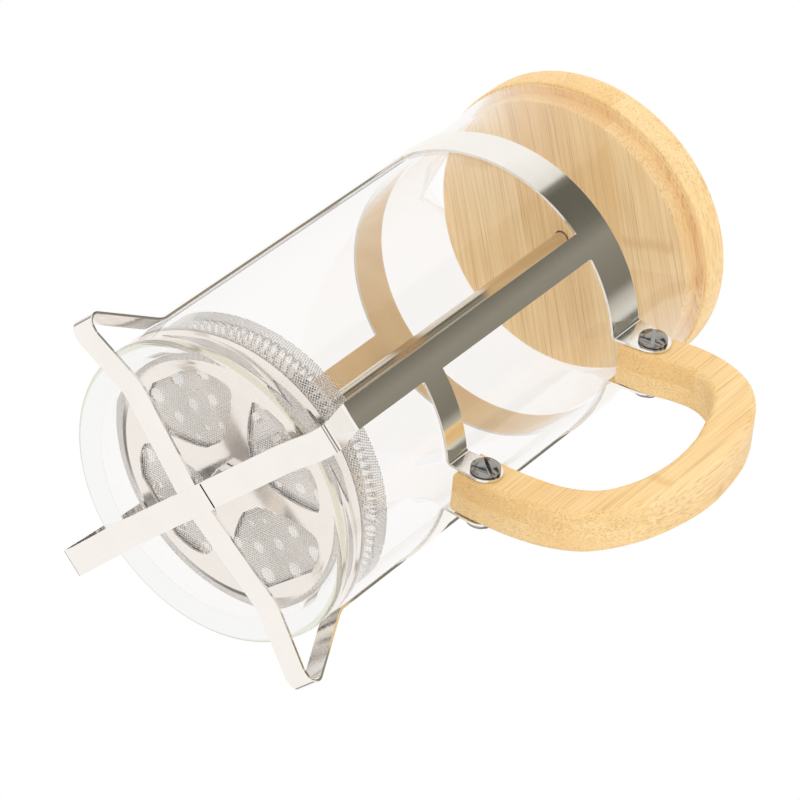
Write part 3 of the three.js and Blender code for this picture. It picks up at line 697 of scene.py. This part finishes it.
def make_cage():
    bend_y = -(TAB_MIDDLE + TAB_BEND)
    bend_x = math.sqrt((STRAP_MIDDLE + TAB_BEND) ** 2 - bend_y**2)
    leave = math.atan2(bend_y, bend_x)
    gate = -leave
    half = STRAP_HALF_ANGLE
    fillet = FILLET / STRAP_MIDDLE
    notch = NOTCH / STRAP_MIDDLE
    beside = (half, half + notch, half + fillet)
    marks = [gate]
    for a in UPRIGHTS:
        marks += [a - off for off in reversed(beside)] + [a] + [a + off for off in beside]
    marks.append(TURN - gate)
    columns = []
    for start, end in zip(marks, marks[1:]):
        steps = max(1, round((end - start) / COLUMN_STEP))
        columns += span(start, end, steps)[:-1]
    columns.append(marks[-1])
    rows = [
        LEG_TOP + LEG_ROW, BAND_LOW - FILLET, BAND_LOW, BAND_HIGH, BAND_HIGH + FILLET,
        RING_LOW - FILLET, RING_LOW, RING_HIGH,
    ]
    verts, faces, keys = [], [], {}

    def vert(point, key=None):
        if key in keys:
            return keys[key]
        verts.append(point)
        if key is not None:
            keys[key] = len(verts) - 1
        return len(verts) - 1

    def grid(i, j):
        return vert(polar(STRAP_MIDDLE, columns[i], rows[j]), (i, j))

    band_row, ring_row = rows.index(BAND_LOW), rows.index(RING_LOW)
    for i in range(len(columns) - 1):
        middle = (columns[i] + columns[i + 1]) / 2
        on_upright = min(abs(middle - a) for a in UPRIGHTS) < half
        in_band = middle < UPRIGHTS[0] + half or middle > UPRIGHTS[3] - half
        for j in range(len(rows) - 1):
            if j == ring_row or on_upright or (j == band_row and in_band):
                faces.append((grid(i, j), grid(i + 1, j), grid(i + 1, j + 1), grid(i, j + 1)))

    def column_at(angle):
        return min(range(len(columns)), key=lambda i: abs(columns[i] - angle))

    def corner(angle, side, row):
        """Rounds the inside corner under a band, beside an upright."""
        i = column_at(angle + side * half)
        m = column_at(angle + side * (half + notch))
        k = column_at(angle + side * (half + fillet))
        made = [grid(i, row), grid(m, row), grid(k, row)]
        for s in range(1, 5):
            t = math.pi / 2 * s / 5
            z = rows[row - 1] + FILLET * math.cos(t)
            made.append(vert(polar(STRAP_MIDDLE, columns[k] - side * fillet * math.sin(t), z)))
        made.append(grid(i, row - 1))
        faces.append(made)

    for a in UPRIGHTS:
        corner(a, -1 if a < math.pi else 1, ring_row)
    corner(UPRIGHTS[0], -1, band_row)
    corner(UPRIGHTS[3], 1, band_row)

    def lead(first, points):
        """Adds rows of cells from a list of edge vertices through rows of points."""
        last = first
        for row in points:
            new = [vert(p) for p in row]
            for a, b, c, d in zip(last, last[1:], new[1:], new):
                faces.append((a, b, c, d))
            last = new
        return last

    for n, a in enumerate(UPRIGHTS):
        inside = [i for i in range(len(columns)) if abs(columns[i] - a) < half + 1e-6]
        across = [columns[i] - a for i in inside]
        edge = [grid(i, 0) for i in inside]
        out = turned(1, a, 0)
        side = Vector((-out.y, out.x, 0))
        line = leg_line(JOGGLE_ENDS.get(n))
        drift = 0 if n in JOGGLE_ENDS else CROSSING * (1 if n == 0 else -1)
        rows_of_points = []
        for i, p in enumerate(line):
            # The strap's round goes flat over six rows, and its drift starts past the knee
            bow = max(0.0, 1 - i / 6) * STRAP_MIDDLE
            row = []
            for d in across:
                flat = out * (p.x - bow * (1 - math.cos(d))) + side * (STRAP_MIDDLE * math.sin(d))
                flat += side * (drift * max(0, 1 - p.x / FOOT_REACH) if i > 8 else 0)
                row.append(place(flat.x, flat.y, p.y))
            rows_of_points.append(row)
        lead(edge, rows_of_points)

    for side in (-1, 1):
        end = column_at(TURN - gate if side < 0 else gate)
        for low, radius in ((ring_row, RING_TAB_RADIUS), (band_row, BAND_TAB_RADIUS)):
            z0, z1 = rows[low], rows[low + 1]
            bend = arc(bend_x, bend_y, TAB_BEND, math.degrees(leave) + 180, 90, 6)[1:]
            points = [[place(x, -side * y, z) for z in (z0, z1)] for x, y in bend]
            edge = lead([grid(end, low), grid(end, low + 1)], points)
            mid = Vector((SCREW_X, (z0 + z1) / 2))
            rim = []
            for z, turn in ((z0, 1), (z1, -1)):
                away = Vector((bend_x, z)) - mid
                rim.append(math.atan2(away.y, away.x) + turn * math.acos(radius / away.length))
            start, stop = math.degrees(rim[0]), math.degrees(rim[1])
            if start > stop:
                start -= 360
            tip = [place(x, side * TAB_MIDDLE, z) for x, z in arc(mid.x, mid.y, radius, start, stop, 24)]
            faces.append([edge[0]] + [vert(p) for p in tip] + [edge[1]])

    mesh = mesh_from("cage", verts, faces, 2e-6)
    piece = add_object("work", mesh)
    solid = piece.modifiers.new("thickness", "SOLIDIFY")
    solid.thickness = STRAP * MM
    solid.offset = 0
    solid.use_even_offset = True
    mesh = bevelled(applied(piece), STRAP_EDGE, 2, 50)
    mesh = cut(mesh, joined([seam_cutter()] + weld_dimples()))
    add_piece("cage", mesh, cage_steel, "vessel", "strap_cage")


# Handle: a rounded slab cut to the outline of a bow
HANDLE_OUTER = [
    (51.3, 48.2), (62.6, 48.1), (73.3, 49.1), (84.0, 52.2), (93.3, 58.5), (100.9, 70.3), (105.4, 83.4),
    (107.7, 99.2), (106.3, 114.9), (103.5, 126.3), (98.1, 137.3), (90.8, 145.1), (81.2, 149.3),
    (70.5, 150.2), (60.9, 148.2), (51.3, 145.6),
]
HANDLE_INNER = [
    (51.3, 133.9), (60.9, 134.4), (69.9, 136.9), (77.2, 137.3), (84.0, 134.0), (88.8, 127.2), (91.9, 118.4),
    (94.4, 108.8), (95.3, 97.4), (94.2, 86.0), (91.3, 76.4), (86.8, 69.2), (79.5, 64.6), (71.6, 62.7),
    (62.6, 61.8), (51.3, 61.8),
]


def inset(outline, distance):
    """The closed outline moved inwards by a distance."""
    made = []
    n = len(outline)
    for i in range(n):
        before, here, after = (Vector(outline[k % n]) for k in (i - 1, i, i + 1))
        arriving = (here - before).normalized()
        leaving = (after - here).normalized()
        along = (arriving + leaving).normalized()
        normal = Vector((-along.y, along.x))
        made.append(tuple(here + normal * (distance / max(along.dot(arriving), 0.4))))
    return made


def make_handle():
    outline = spline(HANDLE_OUTER, 6) + spline(HANDLE_INNER, 6)
    flat = HANDLE_HALF - HANDLE_ROUNDING
    edge = []
    steps = 6
    for i in range(steps):
        a = math.pi / 2 * i / steps
        edge.append((HANDLE_ROUNDING * (1 - math.sin(a)), flat + HANDLE_ROUNDING * math.cos(a)))
    loops = edge + [(0, flat), (0, -flat)] + [(d, -y) for d, y in reversed(edge)]
    verts, faces = [], []
    n = len(outline)
    for d, y in loops:
        verts += [place(x, y, z) for x, z in inset(outline, d)]
    for k in range(len(loops) - 1):
        for i in range(n):
            j = (i + 1) % n
            faces.append((k * n + i, k * n + j, (k + 1) * n + j, (k + 1) * n + i))
    faces += [range(n), range(len(verts) - n, len(verts))]
    mesh = mesh_from("bow_handle", verts, faces, 1e-7, 40)
    add_piece("bow_handle", mesh, handle_bamboo, "vessel", "handle")


# Screws and sleeve nuts: a slotted pan head on a shank
def make_fastener(name, side, height, slot_turn, shank, cad_node):
    shank_radius, length = shank
    profile = [(0, -length), (shank_radius, -length), (shank_radius, 0)]
    profile += [(HEAD_RADIUS, 0), (HEAD_RADIUS, HEAD_EDGE)]
    steps = 12
    for i in range(1, steps + 1):
        a = math.pi / 2 * i / steps
        radius = HEAD_RADIUS * math.cos(a) ** 0.9 if i < steps else 0
        profile.append((radius, HEAD_EDGE + (HEAD_HEIGHT - HEAD_EDGE) * math.sin(a)))
    head = lathe_mesh("head", profile, 64, closed=False, spot=turned, merge=1e-4)
    mesh = cut(head, block((3 * HEAD_RADIUS, SLOT_WIDTH, 2 * SLOT_DEPTH), slot_turn, (0, 0, HEAD_HEIGHT), 1))
    turn = Matrix.Rotation(-side * math.pi / 2, 4, "X")
    shift = Matrix.Translation(place(SCREW_X, side * HEAD_SEAT, height))
    mesh.transform(shift @ turn @ Matrix.Scale(MM, 4))
    mesh = bevelled(mesh, 0.12, angle=35)
    add_piece(name, mesh, fastener_steel, "vessel", cad_node)


# Lid and knob
def make_lid():
    bore = ROD_RADIUS + 0.35
    plug_edge, disc_edge, top = 0.8, 0.7, 3.6
    profile = [(bore, PLUG_LOW)]
    profile += arc(PLUG_RADIUS - plug_edge, PLUG_LOW + plug_edge, plug_edge, -90, 0, 5)
    profile += [(PLUG_RADIUS, LID_LOW)]
    profile += arc(LID_RADIUS - disc_edge, LID_LOW + disc_edge, disc_edge, -90, 0, 5)
    profile += arc(LID_RADIUS - top, LID_HIGH - top, top, 0, 90, 10)
    profile += [(bore, LID_HIGH)]
    mesh = lathe_mesh("turned_lid", profile, 200)
    add_piece("turned_lid", mesh, lid_bamboo, "cover", "lid")


def make_knob():
    neck, neck_height = 8.0, 3.0
    belly = KNOB_HEIGHT * 0.56
    socket, depth = 4.15, 14.3
    low = -math.pi / 3.2
    profile = [(0, KNOB_LOW + depth), (socket, KNOB_LOW + depth), (socket, KNOB_LOW), (neck, KNOB_LOW)]
    profile += arc(neck, KNOB_LOW + 0.5, 0.5, -90, 0, 3)
    steps = 28
    for i in range(steps + 1):
        a = low + (math.pi / 2 - low) * i / steps
        rise = (belly - neck_height) / math.sin(-low) if a < 0 else KNOB_HEIGHT - belly
        radius = max(KNOB_RADIUS * math.cos(a), 0) if i < steps else 0
        profile.append((radius, KNOB_LOW + belly + rise * math.sin(a)))
    mesh = lathe_mesh("turned_knob", profile, 96)
    add_piece("turned_knob", mesh, lid_bamboo, "plunger", "knob")


# Plunger
def make_rod():
    low, high = level("plunger_rod"), level("plunger_rod", 1)
    profile = [(0, low), (ROD_RADIUS, low), (ROD_RADIUS, high), (0, high)]
    mesh = lathe_mesh("rod", profile, 48, closed=False)
    add_piece("rod", mesh, rod_steel, "plunger", "plunger_rod")


def add_filter_part(name, mesh, cad_node):
    add_piece(name, mesh, filter_steel, "plunger", cad_node)


def band_profile(path, thickness):
    """The closed outline of a sheet of even thickness along a middle line."""
    left, right = [], []
    n = len(path)
    for i in range(n):
        before, here, after = Vector(path[max(i - 1, 0)]), Vector(path[i]), Vector(path[min(i + 1, n - 1)])
        arriving = (here - before).normalized() if i else (after - here).normalized()
        leaving = (after - here).normalized() if i < n - 1 else arriving
        along = (arriving + leaving).normalized()
        normal = Vector((-along.y, along.x))
        reach = thickness / 2 / max(along.dot(arriving), 0.3)
        left.append(tuple(here + normal * reach))
        right.append(tuple(here - normal * reach))
    return right + left[::-1]


def bowl_path(start, corners, radius, end, steps=6):
    """A line from start through rounded corners to end."""
    points = [Vector(start)] + [Vector(c) for c in corners] + [Vector(end)]
    path = [points[0]]
    for before, here, after in zip(points, points[1:], points[2:]):
        path += rounded(before, here, after, radius, steps)
    return path + [points[-1]]


def prism(outline, low, high):
    """A closed upright prism from a plan outline."""
    n = len(outline)
    verts = [place(x, y, z) for z in (low, high) for x, y in outline]
    faces = [tuple(range(n)), tuple(range(n, 2 * n))]
    faces += [(i, (i + 1) % n, n + (i + 1) % n, n + i) for i in range(n)]
    return mesh_from("prism", verts, faces, 1e-7)


def joined(meshes):
    bm = bmesh.new()
    for mesh in meshes:
        bm.from_mesh(mesh)
    return mesh_of(bm, "joined")


PETAL_IN, PETAL_OUT = 11.2, 35.6
# Shares of the way out, and of a quarter turn, that a petal reaches to each side of its middle
PETAL_SHARES = [(0.0, 0.18), (0.12, 0.31), (0.37, 0.4), (0.63, 0.42), (0.84, 0.4), (0.945, 0.31), (1.0, 0.18)]


def petal(azimuth):
    side = []
    for out, spread in PETAL_SHARES:
        side.append((PETAL_IN + (PETAL_OUT - PETAL_IN) * out, spread * math.pi / 2))
    right = [turned(r, azimuth - a, 0)[:2] for r, a in side]
    left = [turned(r, azimuth + a, 0)[:2] for r, a in reversed(side)]
    return spline(right, 4) + spline(left, 4)


def make_cross_plate():
    z = CROSS_LOW + PLATE / 2
    lip = (CROSS_LIP - PLATE / 2, CROSS_LOW + CROSS_RISE - PLATE / 2)
    path = bowl_path((ROD_RADIUS + ROD_GAP, z), [(CROSS_FLAT, z)], DISH_CORNER, lip)
    mesh = lathe_mesh("cross", band_profile(path, PLATE), 160)
    outlines = [petal(math.radians(PETAL_TURN + 90 * i)) for i in range(4)]
    windows = [prism(outline, CROSS_LOW - 2, CROSS_LOW + 2) for outline in outlines]
    mesh = bevelled(cut(mesh, joined(windows)), 0.16)
    add_filter_part("petal_plate", mesh, "cross_plate")


WEAVE_PITCH = 0.8
WEAVE_WIRE = 0.145
WEAVE_LIFT = 0.12


def add_wire(verts, faces, points, radius, sides, aside):
    """Adds a round wire. Its first and last point only steer the ends, and aside() turns each ring."""
    start = len(verts)
    for before, here, after in zip(points, points[1:], points[2:]):
        along = (after - before).normalized()
        across = aside(along, here)
        up = along.cross(across)
        for k in range(sides):
            a = TURN * k / sides
            verts.append(place(*(here + across * (radius * math.cos(a)) + up * (radius * math.sin(a)))))
    last = len(verts) - sides
    for at in range(start, last, sides):
        for k in range(sides):
            m = (k + 1) % sides
            faces.append((at + k, at + m, at + sides + m, at + sides + k))
    faces.append(tuple(range(start, start + sides)))
    faces.append(tuple(range(last, last + sides)))


def make_screen():
    """Plain weave of fine wires laid over the cup, each passing over and under those that cross it."""
    z = SCREEN_LOW + MESH / 2
    edge = GLASS_RADIUS - GLASS_WALL - SCREEN_GAP - MESH / 2
    step = (CROSS_LIP - SCREEN_STEP, SCREEN_LOW + SCREEN_STEP)
    corners = [(SCREEN_FLAT, z), step, (edge, SCREEN_LOW + SKIRT_RISE)]
    path = bowl_path((0, z), corners, DISH_CORNER, (edge, SCREEN_TOP), 4)
    lengths = [0.0]
    for a, b in zip(path, path[1:]):
        lengths.append(lengths[-1] + (b - a).length)
    reach = lengths[-1]

    def draped(x, y, lift):
        """The place on the cup of a point of the flat cloth, lifted off its middle surface."""
        s = min(math.hypot(x, y), reach)
        k = 1
        while lengths[k] < s:
            k += 1
        along = (path[k] - path[k - 1]).normalized()
        spot = path[k - 1] + along * (s - lengths[k - 1]) + Vector((along.y, -along.x)) * lift
        angle = math.atan2(y, x)
        return Vector((spot.x * math.cos(angle), spot.x * math.sin(angle), spot.y))

    def wires(family, i):
        """Runs of points of one wire, broken at the rod's hole."""
        c = i * WEAVE_PITCH
        end = math.sqrt(max(reach**2 - c**2, 0))
        count = int(end / WEAVE_PITCH)
        offsets = [-end] + [j * WEAVE_PITCH for j in range(-count, count + 1)] + [end]
        run = []
        for j, d in enumerate(offsets):
            if math.hypot(c, d) < ROD_RADIUS + 0.2:
                yield run
                run = []
                continue
            lift = WEAVE_LIFT * (-1) ** (i + j - count - 1 + family)
            x, y = (d, c) if family else (c, d)
            run.append(draped(x, y, lift))
        yield run

    def aside(along, here):
        return along.cross(Vector((0, 0, 1) if abs(along.z) < 0.9 else (1, 0, 0))).normalized()

    verts, faces = [], []
    rows = int(reach / WEAVE_PITCH)
    for family in (0, 1):
        for i in range(-rows, rows + 1):
            for run in wires(family, i):
                if len(run) > 1:
                    add_wire(verts, faces, [run[0], *run, run[-1]], WEAVE_WIRE, 4, aside)
    mesh = bpy.data.meshes.new("wires")
    mesh.from_pydata(verts, [], faces)
    bm = bmesh.new()
    bm.from_mesh(mesh)
    bmesh.ops.recalc_face_normals(bm, faces=bm.faces)
    mesh = mesh_of(bm, "screen")
    mesh.shade_smooth()
    add_piece("screen", mesh, wire_steel, "plunger", "mesh_screen")


def make_spiral_plate():
    z = SPIRAL_LOW + PLATE / 2
    corners = [(SPIRAL_FLAT, z), (SPIRAL_RIM, SPIRAL_LOW + SPIRAL_RISE)]
    path = bowl_path((ROD_RADIUS + ROD_GAP, z), corners, DISH_CORNER, (SPIRAL_RIM, SPIRAL_TOP), 4)
    mesh = lathe_mesh("spiral", band_profile(path, PLATE), 120)
    holes = []
    for radius, size in HOLE_ROWS:
        for i in range(HOLES_IN_ROW):
            x, y = turned(radius, math.radians(HOLE_TURN) + TURN * i / HOLES_IN_ROW, 0)[:2]
            outline = arc(x, y, size, 0, 360, 20)[:-1]
            holes.append(prism(outline, SPIRAL_LOW - 2, SPIRAL_LOW + 3))
    mesh = bevelled(cut(mesh, joined(holes)), 0.08, 1, 50)
    add_filter_part("sieve_plate", mesh, "spiral_plate")


def make_spring():
    """A wire wound in small curls round the rim, its two ends a curl apart."""
    core, curl, wire = 42.75, 2.1, 0.4
    curls, steps = 100, 18
    total = curls * steps

    def spot(i):
        around = TURN * i / total
        a = around * curls
        return turned(core + curl * math.cos(a), around, SPRING_MIDDLE + curl * math.sin(a))

    def aside(along, here):
        out = here - turned(core, math.atan2(here.y, here.x), SPRING_MIDDLE)
        return (out - along * out.dot(along)).normalized()

    verts, faces = [], []
    add_wire(verts, faces, [spot(i) for i in range(-1, total - steps + 1)], wire, 8, aside)
    mesh = mesh_from("rim_spring", verts, faces, 1e-8, 60)
    add_filter_part("rim_spring", mesh, "edge_spring")


def make_collar():
    bore, low = ROD_RADIUS + ROD_GAP, COLLAR_LOW
    outer, shoulder, tip, height = 5, 2, 3.5, 5
    profile = [(bore, low), (outer, low), (outer, low + shoulder), (tip, low + height), (bore, low + height)]
    mesh = bevelled(lathe_mesh("collar", profile, 64), 0.3, 3, 25)
    add_filter_part("collar", mesh, "rod_collar")


def make_hub_nut():
    radius, height = 5, 3.4
    sides = [turned(radius, TURN * i / 6, 0)[:2] for i in range(6)]
    mesh = bevelled(prism(sides, NUT_LOW, NUT_LOW + height), 0.5, 3)
    add_filter_part("cap_nut", mesh, "hub_nut")


def dress_hidden_insert():
    """The insert inside the knob keeps its own mesh and gets a finish."""
    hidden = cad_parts["knob_insert"]
    hidden.data.materials.clear()
    hidden.data.materials.append(fastener_steel)


make_beaker()
make_cage()
make_handle()
for which, slot_turn in SLOT_TURNS.items():
    height = SCREW_LEVELS[which]
    make_fastener(which + "_screw", -1, height, slot_turn, SCREW_SHANK, which + "_handle_screw")
    make_fastener(which + "_nut", 1, height, -slot_turn, NUT_SHANK, which + "_sleeve_nut")
make_lid()
make_knob()
make_rod()
make_cross_plate()
make_screen()
make_spiral_plate()
make_spring()
make_collar()
make_hub_nut()
dress_hidden_insert()


# Camera: where the photograph was taken from, below the press
CAMERA_PLACE = (618.284, -785.653, -861.272)
CAMERA_RIGHT = (0.80725, -0.07612, 0.58528)
CAMERA_DOWN = (0.38947, 0.81380, -0.43133)
CAMERA_VIEW = (-0.44347, 0.57614, 0.68659)
CAMERA_LENS = 208.148


def make_camera():
    data = bpy.data.cameras.new("camera")
    data.lens = CAMERA_LENS
    data.sensor_width = 36
    data.clip_end = 20
    camera = add_object("camera", data)
    turn = Matrix((CAMERA_RIGHT, CAMERA_DOWN, CAMERA_VIEW)).transposed()
    turn.col[1] = -turn.col[1]
    turn.col[2] = -turn.col[2]
    camera.matrix_world = Matrix.Translation(place(*CAMERA_PLACE)) @ turn.to_4x4()
    bpy.context.scene.camera = camera


# Studio: a pale floor that is open from below, soft lamps and a white surround
FLOOR_SIZE = 3.0
FLOOR_COLOUR = (0.93, 0.93, 0.925)
FLOOR_LEVEL = -0.05 * MM  # just under the soles, which would flicker with it
# Brightness of the floor that polished steel mirrors, by the distance from the press in metres
FLOOR_TONES = ((0.0001, 1.0), (0.13, 1.0), (0.19, 0.62), (0.27, 0.4), (0.34, 0.46), (0.42, 0.9), (0.99, 1.0))
# Distances in metres between which the floor fades into the surround
FLOOR_FADE = (0.25, 1.4)


def make_floor():
    corners = ((-1, -1), (1, -1), (1, 1), (-1, 1))
    verts = [Vector((x * FLOOR_SIZE, y * FLOOR_SIZE, FLOOR_LEVEL)) for x, y in corners]
    mesh = mesh_from("floor", verts, [(0, 1, 2, 3)])
    if mesh.polygons[0].normal.z < 0:
        mesh.flip_normals()
    floor = add_object("floor", mesh)
    material, tree, shader = new_material("floor")
    shader.inputs["Base Color"].default_value = (*FLOOR_COLOUR, 1)
    shader.inputs["Roughness"].default_value = 0.8
    open_side = tree.nodes.new("ShaderNodeBsdfTransparent")
    toned = tree.nodes.new("ShaderNodeEmission")
    white = tree.nodes.new("ShaderNodeEmission")
    ray = tree.nodes.new("ShaderNodeLightPath").outputs
    side = tree.nodes.new("ShaderNodeNewGeometry").outputs
    coords = tree.nodes.new("ShaderNodeTexCoord").outputs
    distance = vector_node(tree, "LENGTH", coords["Object"]).outputs["Value"]
    stops = [(reach, (tone, tone * 0.972, tone * 0.945)) for reach, tone in FLOOR_TONES]
    tree.links.new(colour_stops(tree, distance, stops), toned.inputs["Color"])

    # Steel mirrors the tones, the eye sees the floor fade into the surround, and from below it is open
    mirrored = math_node(tree, "MULTIPLY", ray["Is Glossy Ray"], ray["Is Reflection Ray"])
    seen = math_node(tree, "MAXIMUM", ray["Is Camera Ray"], ray["Is Transmission Ray"])
    far = math_node(tree, "MULTIPLY", seen, ramp(tree, distance, *FLOOR_FADE))
    clear = math_node(tree, "MAXIMUM", side["Backfacing"], ray["Is Shadow Ray"])
    look = mix_shader(tree, mirrored, shader.outputs[0], toned.outputs[0])
    look = mix_shader(tree, far, look, white.outputs[0])
    look = mix_shader(tree, clear, look, open_side.outputs[0])
    tree.links.new(look, tree.nodes["Material Output"].inputs["Surface"])
    floor.data.materials.append(material)


# Brightness that polished steel mirrors, by the azimuth of what it mirrors in degrees
MIRROR_TONES = (
    (-179, 1.0), (-125, 1.0), (-100, 0.9), (-89, 0.8), (-86, 0.2), (-80, 0.13), (-60, 0.13), (-48, 0.17),
    (-37, 0.28), (-20, 0.24), (2, 0.2), (10, 0.5), (20, 0.7), (25, 0.7), (27, 0.18), (36, 0.18), (39, 1.0),
    (179, 1.0),
)
# Sines of the elevations between which they come in, and go
MIRROR_LOW = (0.5, 0.56)
MIRROR_HIGH = (0.79, 0.84)
# The same for the dark band over the horizon, and for where the uneven room turns even
HORIZON_LOW = (-0.02, 0.04)
HORIZON_HIGH = (0.2, 0.3)
ROOM_EVEN = (0.3, 0.48)
# Strengths of the light that reaches the object from below and from above
FILL_BELOW, FILL_ABOVE = 1.56, 0.86
# Places in metres and power in watts
LAMPS = {"key": ((0.9, -1.2, -0.6), 4), "top": ((-0.6, -0.5, 1.4), 2.5)}
LAMP_SIZE = 0.9
LAMP_AIM = (0, 0, 0.1)


def make_world():
    world = bpy.data.worlds.new("studio")
    bpy.context.scene.world = world
    world.use_nodes = True
    tree = world.node_tree
    tree.nodes.clear()
    ray = tree.nodes.new("ShaderNodeLightPath").outputs
    direction = tree.nodes.new("ShaderNodeTexCoord").outputs["Generated"]
    x, y, height = parts_of(tree, direction)

    # What the polished straps mirror: a pale room with a dark gap, lighter at one place within it
    azimuth = math_node(tree, "MULTIPLY", math_node(tree, "ARCTAN2", y, x), 180 / math.pi)
    stops = []
    for at, tone in MIRROR_TONES:
        colour = (tone, tone * (0.92 + 0.06 * tone), tone * (0.68 + 0.27 * tone))
        stops.append(((at + 180) / 360, colour))
    tones = colour_stops(tree, ramp(tree, azimuth, -180, 180), stops)
    over, under = ramp(tree, height, *MIRROR_LOW), ramp(tree, height, *MIRROR_HIGH, 1, 0)
    shown = math_node(tree, "MULTIPLY", over, under)

    # Lower down the room is uneven, so that upright steel shows it from every side
    uneven = ramp(tree, noise(tree, direction, (1.9, 1.9, 1.9), 1), 0.42, 0.58, 0.42, 1)
    uneven = math_node(tree, "MAXIMUM", uneven, ramp(tree, height, *ROOM_EVEN))
    over, under = ramp(tree, height, *HORIZON_LOW), ramp(tree, height, *HORIZON_HIGH, 1, 0)
    horizon = math_node(tree, "MULTIPLY", over, under)
    uneven = math_node(tree, "MULTIPLY", uneven, ramp(tree, horizon, 0, 1, 1, 0.3))
    room = mix_colour(tree, uneven, (0.0, 0.0, 0.0), (1.0, 0.975, 0.94))

    # Steel mirrors the room, the eye sees white, and all else is lit by the fill
    mirrored = tree.nodes.new("ShaderNodeBackground")
    tree.links.new(mix_colour(tree, shown, room, tones), mirrored.inputs["Color"])
    white = node(tree, "ShaderNodeBackground", Color=(1, 1, 1, 1))
    fill = node(tree, "ShaderNodeBackground", Color=(1, 0.985, 0.965, 1))
    tree.links.new(ramp(tree, height, -0.9, 0.9, FILL_BELOW, FILL_ABOVE), fill.inputs["Strength"])
    seen = math_node(tree, "MAXIMUM", ray["Is Camera Ray"], ray["Is Transmission Ray"])
    look = mix_shader(tree, ray["Is Glossy Ray"], fill.outputs[0], mirrored.outputs[0])
    look = mix_shader(tree, seen, look, white.outputs[0])
    tree.links.new(look, tree.nodes.new("ShaderNodeOutputWorld").inputs["Surface"])


def make_lamp(name, location, power):
    data = bpy.data.lights.new(name, "AREA")
    data.size = LAMP_SIZE
    data.energy = power
    lamp = add_object(name, data)
    lamp.location = location
    lamp.visible_glossy = False
    lamp.visible_transmission = False
    lamp.rotation_mode = "QUATERNION"
    lamp.rotation_quaternion = (Vector(LAMP_AIM) - lamp.location).to_track_quat("-Z", "Y")


make_camera()
make_floor()
make_world()
for lamp_name, settings in LAMPS.items():
    make_lamp(lamp_name, *settings)

bpy.context.scene.view_settings.view_transform = "Standard"
